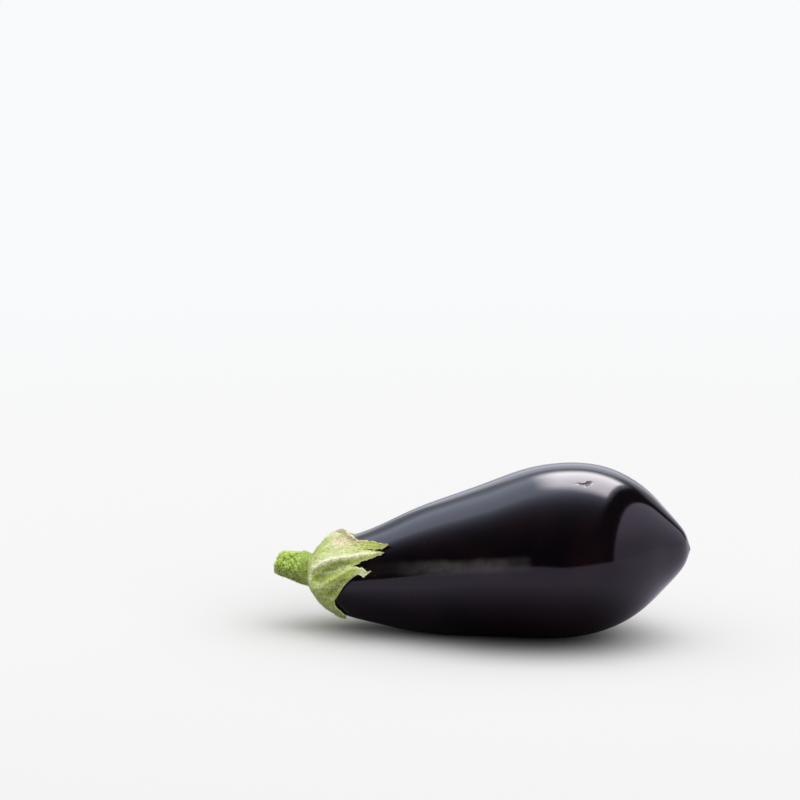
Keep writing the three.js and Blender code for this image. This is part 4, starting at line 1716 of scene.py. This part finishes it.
@dataclass(frozen=True)
class Wash:
    """Soft light on matt surfaces, from one side."""

    azimuth: float  # 0 from behind (+Y), 90 from +X
    elevation: float
    power: float  # how narrow it is
    share: float  # how much it adds to what level white paper sends back

    def towards(self) -> Vector:
        """The direction that it comes from."""
        a, e = math.radians(self.azimuth), math.radians(self.elevation)
        return Vector((math.sin(a) * math.cos(e), math.cos(a) * math.cos(e), math.sin(e)))

    def strength(self) -> float:
        """The radiance at its middle that gives its share on level paper."""
        count = 4000
        k = np.arange(count) + 0.5
        z = k / count
        turn = k * math.pi * (3 - math.sqrt(5))
        flat = np.sqrt(1 - z * z)
        ways = np.stack([flat * np.cos(turn), flat * np.sin(turn), z], 1)
        shape = np.clip(ways @ np.array(self.towards()), 0, 1) ** self.power
        return self.share / float((shape * z).mean() * 2)


@dataclass
class Studio:
    """The camera, the pale floor and the soft light around the object."""

    eye: Triple = (0.076815, -0.93993, 0.26891)
    azimuth: float = 7.0
    elevation: float = 9.3
    lens: float = 90.0
    pale: Triple = (0.94, 0.955, 0.965)
    dark: Triple = (0.03, 0.028, 0.04)
    floor_albedo: float = 0.8
    floor_front: Triple = (-0.32, -0.04, 0.955)  # painted shade: where it dims towards the camera, and to what
    floor_fade: Pair = (0.35, 1.6)  # how far off it starts to fade into the surroundings, and ends
    bounce: float = 0.55  # how much of the floor's light matt surfaces get
    contact_shadow: Pair = (0.35, 0.92)  # painted contact shadow: what the paper keeps right under the fruit, and beside that
    contact_reach: float = 0.05
    contact_at: Triple = (0.035, 0.02, 0.08)  # its middle, and where it starts and stops to ease
    foot_shade: Pair = (0.02, 0.115)  # painted shade on the mirrored floor: where it starts and stops to brighten
    foot_dim: Pair = (-0.92, -0.15)  # how much it loses there
    foot_line: Pair = (0.45, 0.06)  # how the dimness is squeezed towards -X, and its end towards +X
    aside: Quad = (0.87, 0.02, 0.12, 0.22)  # slope, start, end and gain to the right
    stalkward: Triple = (-0.06, 0.03, 0.11)  # start, end and gain towards the stalk
    mirror_cast: Pair = (-0.06, 0.14)  # what the mirrored paper's green and blue gain
    fill_size: float = 0.4
    fill_aim: Triple = (-0.075, 0.0, 0.03)
    cap_fill: Quad = (-0.62, -0.12, 0.66, 2.7)  # where the cap's lamp is, and its power
    stalk_fill: Quad = (-0.3, 0.0, 0.75, 3.4)  # the same for the stalk's own lamp
    edge_left: Pair = (-0.45, -0.8)
    edge_right: Pair = (0.06, -0.33)
    edge_fade: Pair = (-0.07, 0.06)
    panels: tuple[Panel, ...] = (
        # Diffused light overhead and behind: a neutral bright middle in a cooler, wider spill.
        Panel((-6, 22), (-41, -18), (11, 2.5), (12, 14), (9.6, 9.2, 8.8), lean=0.3),
        Panel((-48, 22), (-38, -6), (12, 7), (20, 0), (2.5, 2.9, 3.4), decay=12.5),
        # The pale wall behind, with a brighter band where the sweep turns up.
        Panel((-70, 14), (-150, -54), (20, 14), (10, 8), (0.7, 0.73, 0.82)),
        Panel((-17, 10), (-76, -60), (6, 8), (8, 6), (0.9, 0.95, 1.1)),
        Panel((14, 30), (-150, -68), (1, 8), (10, 14), (0.5, 0.5, 0.56)),
        # The white board on the right, brighter towards the back.
        Panel((43.5, 95), (-179, 179), (2.5, 1), (1, 1), (0.84, 0.79, 0.95), rise=0.9),
    )
    washes: tuple[Wash, ...] = (
        Wash(90, 45, 3, 0.54),
        Wash(135, 22, 3, 0.2),
        Wash(0, 90, 12, 0.2),
        Wash(260, 40, 3, 0.2),
        Wash(315, 22, 3, 0.03),
    )

    def camera(self) -> Piece:
        """Places the camera."""
        data = bpy.data.cameras.new("camera")
        data.lens = self.lens
        data.sensor_width = 36.0
        data.clip_start = 0.01
        data.clip_end = 100.0
        camera = bpy.data.objects.new("camera", data)
        bpy.context.scene.collection.objects.link(camera)
        a, e = math.radians(self.azimuth), math.radians(self.elevation)
        back = Vector((math.sin(a) * math.cos(e), -math.cos(a) * math.cos(e), math.sin(e)))
        right = Vector((math.cos(a), math.sin(a), 0))
        up = back.cross(right)
        camera.matrix_world = Matrix.Translation(self.eye) @ Matrix((right, up, back)).transposed().to_4x4()
        bpy.context.scene.camera = camera
        return camera

    def paper_tone(self, tree: Tree, axes: Outputs, ray: Outputs) -> Node:
        """The paper's tone, with painted shade towards the camera and a painted contact shadow under the
        object.

        Args:
            tree: The paper's node tree.
            axes: The place's three coordinates.
            ray: The sockets that tell what kind of ray it is.

        Returns:
            The node that gives the tone.
        """
        front, back, kept = self.floor_front
        near = add_node(tree, RANGE, links={0: axes[1], 1: front, 2: back, 3: kept, 4: 1.0})
        tone = add_node(tree, MATH, MULTIPLY, {0: near, 1: self.floor_albedo})

        # Matt surfaces get less of it back than the camera does.
        returned = add_node(tree, MATH, MADD, {0: ray["Is Diffuse Ray"], 1: self.bounce - 1, 2: 1.0})
        tone = add_node(tree, MATH, MULTIPLY, {0: tone, 1: returned})
        # A painted contact shadow, darkest near the middle of the fruit's length.
        reach = {"Distance": self.contact_reach}
        contact_shadow = add_node(tree, "ShaderNodeAmbientOcclusion", {"samples": 8}, reach).outputs["AO"]
        (least, most), (middle, close, far) = self.contact_shadow, self.contact_at
        under = add_node(tree, MATH, SUBTRACT, {0: axes[0], 1: middle})
        under = add_node(tree, MATH, ABSOLUTE, {0: under})
        under = add_node(tree, RANGE, EASE, {0: under, 1: close, 2: far, 3: least, 4: most})
        contact_shadow = add_node(tree, RANGE, links={0: contact_shadow, 1: 0.05, 2: 0.75, 3: under, 4: 1.0})
        return add_node(tree, MATH, MULTIPLY, {0: tone, 1: contact_shadow})

    def mirror_dim(self, tree: Tree, axes: Outputs, ray: Outputs) -> Node:
        """How much of the paper the skin mirrors: painted shade darkens it towards the foot of the object.

        Args:
            tree: The paper's node tree.
            axes: The place's three coordinates.
            ray: The sockets that tell what kind of ray it is.

        Returns:
            The node that gives the gain, which is 1 for all rays but mirrored ones.
        """
        squeeze, end = self.foot_line
        right = add_node(tree, MATH, MAXIMUM, {0: axes[0], 1: end})
        stretch = add_node(tree, MATH, MADD, {0: axes[0], 1: squeeze, 2: right})
        stretch = add_node(tree, MATH, SUBTRACT, {0: stretch, 1: end})
        squeezed = add_node(tree, "ShaderNodeCombineXYZ", links={0: stretch, 1: axes[1]})
        close = add_node(tree, VECTOR, LENGTH, {0: squeezed})
        (low, high), (dark, light) = self.foot_shade, self.foot_dim
        dim = add_node(tree, RANGE, EASE, {0: close, 1: low, 2: high, 3: dark, 4: light})
        slope, low, high, gain = self.aside
        aside = add_node(tree, MATH, MADD, {0: axes[1], 1: slope, 2: axes[0]})
        aside = add_node(tree, RANGE, EASE, {0: aside, 1: low, 2: high, 3: 0, 4: gain})
        dim = add_node(tree, MATH, ADD, {0: dim, 1: aside})
        low, high, gain = self.stalkward
        stalkward = add_node(tree, RANGE, EASE, {0: axes[0], 1: low, 2: high, 3: gain, 4: 0})
        dim = add_node(tree, MATH, ADD, {0: dim, 1: stalkward})
        return add_node(tree, MATH, MADD, {0: dim, 1: ray["Is Glossy Ray"], 2: 1.0})

    def past_edge(self, tree: Tree, axes: Outputs) -> Node:
        """How far past the paper's slanted front edge a place is.

        Args:
            tree: The paper's node tree.
            axes: The place's three coordinates.

        Returns:
            The node that gives 0 on the paper and 1 past its edge.
        """
        (left, left_y), (right, right_y) = self.edge_left, self.edge_right
        slope = (right_y - left_y) / (right - left)
        line = add_node(tree, MATH, MADD, {0: axes[0], 1: slope, 2: left_y - slope * left})
        line = add_node(tree, MATH, {"operation": "MINIMUM"}, {0: line, 1: right_y})
        past = add_node(tree, MATH, SUBTRACT, {0: axes[1], 1: line})
        outer, inner = self.edge_fade
        return add_node(tree, RANGE, EASE, {0: past, 1: outer, 2: inner, 3: 1, 4: 0})

    def floor_material(self) -> Material:
        """White paper with painted shade near the object and towards the camera, that fades into its
        surroundings far off, and that the skin mirrors dimly nearby.
        """
        material = bpy.data.materials.new("white_paper_sweep")
        material.use_nodes = True
        tree = material.node_tree
        tree.nodes.clear()
        place = add_node(tree, "ShaderNodeTexCoord").outputs["Object"]
        ray = add_node(tree, "ShaderNodeLightPath").outputs
        axes = add_node(tree, "ShaderNodeSeparateXYZ", links={0: place}).outputs
        flat = add_node(tree, VECTOR, MULTIPLY, {0: place, 1: (1, 1, 0)})
        away = add_node(tree, VECTOR, LENGTH, {0: flat})
        tone, dim = self.paper_tone(tree, axes, ray), self.mirror_dim(tree, axes, ray)
        tone = add_node(tree, MATH, MULTIPLY, {0: tone, 1: dim})
        parts = [tone]
        for gain in self.mirror_cast:
            cast = add_node(tree, MATH, MADD, {0: ray["Is Glossy Ray"], 1: gain, 2: 1.0})
            parts.append(add_node(tree, MATH, MULTIPLY, {0: tone, 1: cast}))
        colour = add_node(tree, "ShaderNodeCombineColor", links=dict(enumerate(parts)))
        matt = add_node(tree, "ShaderNodeBsdfDiffuse", links={0: colour})
        glow = add_node(tree, "ShaderNodeEmission", links={0: (*self.pale, 1)})
        start, stop = self.floor_fade
        fade = add_node(tree, RANGE, EASE, {0: away, 1: start, 2: stop})
        mix = add_node(tree, "ShaderNodeMixShader", links={0: fade, 1: matt, 2: glow})

        # Past the paper's front edge the skin mirrors nothing of it.
        past = self.past_edge(tree, axes)
        gone = add_node(tree, MATH, MULTIPLY, {0: past, 1: ray["Is Glossy Ray"]})
        nothing = add_node(tree, "ShaderNodeBsdfTransparent")
        mix = add_node(tree, "ShaderNodeMixShader", links={0: gone, 1: mix, 2: nothing})
        add_node(tree, "ShaderNodeOutputMaterial", links={"Surface": mix})
        return material

    def floor(self) -> None:
        """Lays the floor."""
        deselect_all()
        bpy.ops.mesh.primitive_plane_add(size=60)
        floor = bpy.context.object
        floor.name = floor.data.name = "floor"
        floor.data.materials.append(self.floor_material())

    def mirrored(self, tree: Tree, way: Socket) -> Node:
        """The panels' light.

        Args:
            tree: The world's node tree.
            way: The direction's socket.

        Returns:
            The node that gives the colour.
        """
        axes = add_node(tree, "ShaderNodeSeparateXYZ", links={0: way}).outputs
        lateral = add_node(tree, MATH, {"operation": "ARCSINE"}, {0: axes[0]})
        lateral = add_node(tree, MATH, {"operation": "DEGREES"}, {0: lateral})
        front = add_node(tree, MATH, MULTIPLY, {0: axes[1], 1: -1.0})
        tilt = add_node(tree, MATH, {"operation": "ARCTAN2"}, {0: front, 1: axes[2]})
        tilt = add_node(tree, MATH, {"operation": "DEGREES"}, {0: tilt})
        total: object = self.dark
        for panel in self.panels:
            (left, right), (left_fade, right_fade) = panel.lateral, panel.lateral_fade
            (back, fore), (back_fade, fore_fade) = panel.tilt, panel.tilt_fade
            gates = [
                add_node(tree, RANGE, EASE, {0: lateral, 1: left - left_fade, 2: left}),
                add_node(tree, RANGE, EASE, {0: lateral, 1: right, 2: right + right_fade, 3: 1, 4: 0}),
                add_node(tree, RANGE, EASE, {0: tilt, 1: back - back_fade, 2: back}),
            ]
            if panel.rise:
                limits = {0: axes[2], 1: 0.1, 2: 0.85, 3: 1, 4: 1 + panel.rise}
                gates.append(add_node(tree, RANGE, EASE, limits))
            if panel.decay:
                over = add_node(tree, MATH, SUBTRACT, {0: tilt, 1: fore})
                over = add_node(tree, MATH, MAXIMUM, {0: over, 1: 0.0})
                over = add_node(tree, MATH, {"operation": "DIVIDE"}, {0: over, 1: -panel.decay})
                gates.append(add_node(tree, MATH, {"operation": "EXPONENT"}, {0: over}))
            else:
                leant = add_node(tree, MATH, MADD, {0: lateral, 1: -panel.lean, 2: tilt})
                limits = {0: leant, 1: fore, 2: fore + fore_fade, 3: 1, 4: 0}
                gates.append(add_node(tree, RANGE, EASE, limits))
            mask = gates[0]
            for gate in gates[1:]:
                mask = add_node(tree, MATH, MULTIPLY, {0: mask, 1: gate})
            glow = add_node(tree, VECTOR, SCALE, {0: panel.colour, "Scale": mask})
            total = add_node(tree, VECTOR, ADD, {0: total, 1: glow})
        return total

    def washed(self, tree: Tree, way: Socket) -> Node:
        """The soft light that matt surfaces get.

        Args:
            tree: The world's node tree.
            way: The direction's socket.

        Returns:
            The node that gives the colour.
        """
        total: object = (0.0, 0.0, 0.0)
        for wash in self.washes:
            facing = add_node(tree, VECTOR, DOT, {0: way, 1: wash.towards()})
            facing = add_node(tree, MATH, MAXIMUM, {0: facing, 1: 0.0})
            shape = add_node(tree, MATH, {"operation": "POWER"}, {0: facing, 1: wash.power})
            grey = (wash.strength(),) * 3
            glow = add_node(tree, VECTOR, SCALE, {0: grey, "Scale": shape})
            total = add_node(tree, VECTOR, ADD, {0: total, 1: glow})
        return total

    def fill(self, name: str, lamp_at: Quad, pieces: list[Piece]) -> None:
        """Adds a soft lamp that falls on some pieces alone.

        Args:
            name: The lamp's name.
            lamp_at: Where it stands, and its power in watts.
            pieces: The objects that it lights.
        """
        lit = bpy.data.collections.new(name + "_receivers")
        for piece in pieces:
            lit.objects.link(piece)
        data = bpy.data.lights.new(name, "AREA")
        data.shape = "DISK"
        data.size = self.fill_size
        data.energy = lamp_at[3]
        lamp = bpy.data.objects.new(name, data)
        bpy.context.scene.collection.objects.link(lamp)
        place = Vector(lamp_at[:3])
        aim = place - Vector(self.fill_aim)
        lamp.matrix_world = Matrix.Translation(place) @ aim.to_track_quat("Z", "Y").to_matrix().to_4x4()
        lamp.light_linking.receiver_collection = lit
        lamp.visible_camera = False
        lamp.visible_glossy = False

    def light(self) -> None:
        """Paints the studio's light on the world: panels for mirrored rays, washes for matt ones."""
        world = bpy.data.worlds.new("studio")
        bpy.context.scene.world = world
        world.use_nodes = True
        tree = world.node_tree
        tree.nodes.clear()
        way = add_node(tree, "ShaderNodeTexCoord").outputs["Generated"]
        mirrored = add_node(tree, "ShaderNodeBackground", links={"Color": self.mirrored(tree, way)})
        washed = add_node(tree, "ShaderNodeBackground", links={"Color": self.washed(tree, way)})
        plain = add_node(tree, "ShaderNodeBackground", links={"Color": (*self.pale, 1)})
        ray = add_node(tree, "ShaderNodeLightPath").outputs
        lit = add_node(tree, "ShaderNodeMixShader", links={0: ray["Is Glossy Ray"], 1: washed, 2: mirrored})
        mix = add_node(tree, "ShaderNodeMixShader", links={0: ray["Is Camera Ray"], 1: lit, 2: plain})
        add_node(tree, "ShaderNodeOutputWorld", links={"Surface": mix})
        scene = bpy.context.scene
        scene.view_settings.view_transform = "Standard"
        scene.view_settings.look = "None"


def main() -> None:
    """Builds the eggplant and its studio, and reports each piece."""
    logging.basicConfig(level=logging.INFO, format="%(name)s: %(message)s")
    studio = Studio()
    studio.camera()
    studio.floor()
    studio.light()
    form = FruitForm()
    Fruit(form).build()
    calyx = Calyx(form).build()
    stem = Stem(form).build()
    felt = Felt()
    calyx_felt = felt.build(calyx, "calyx", "calyx", 14000, 21, "upper")
    stem_felt = felt.build(stem, "stem", "stem", 5000, 22, None)
    studio.fill("cap_fill", studio.cap_fill, [calyx, stem, calyx_felt, stem_felt])
    studio.fill("stalk_fill", studio.stalk_fill, [stem, stem_felt])


if __name__ == "__main__":
    main()
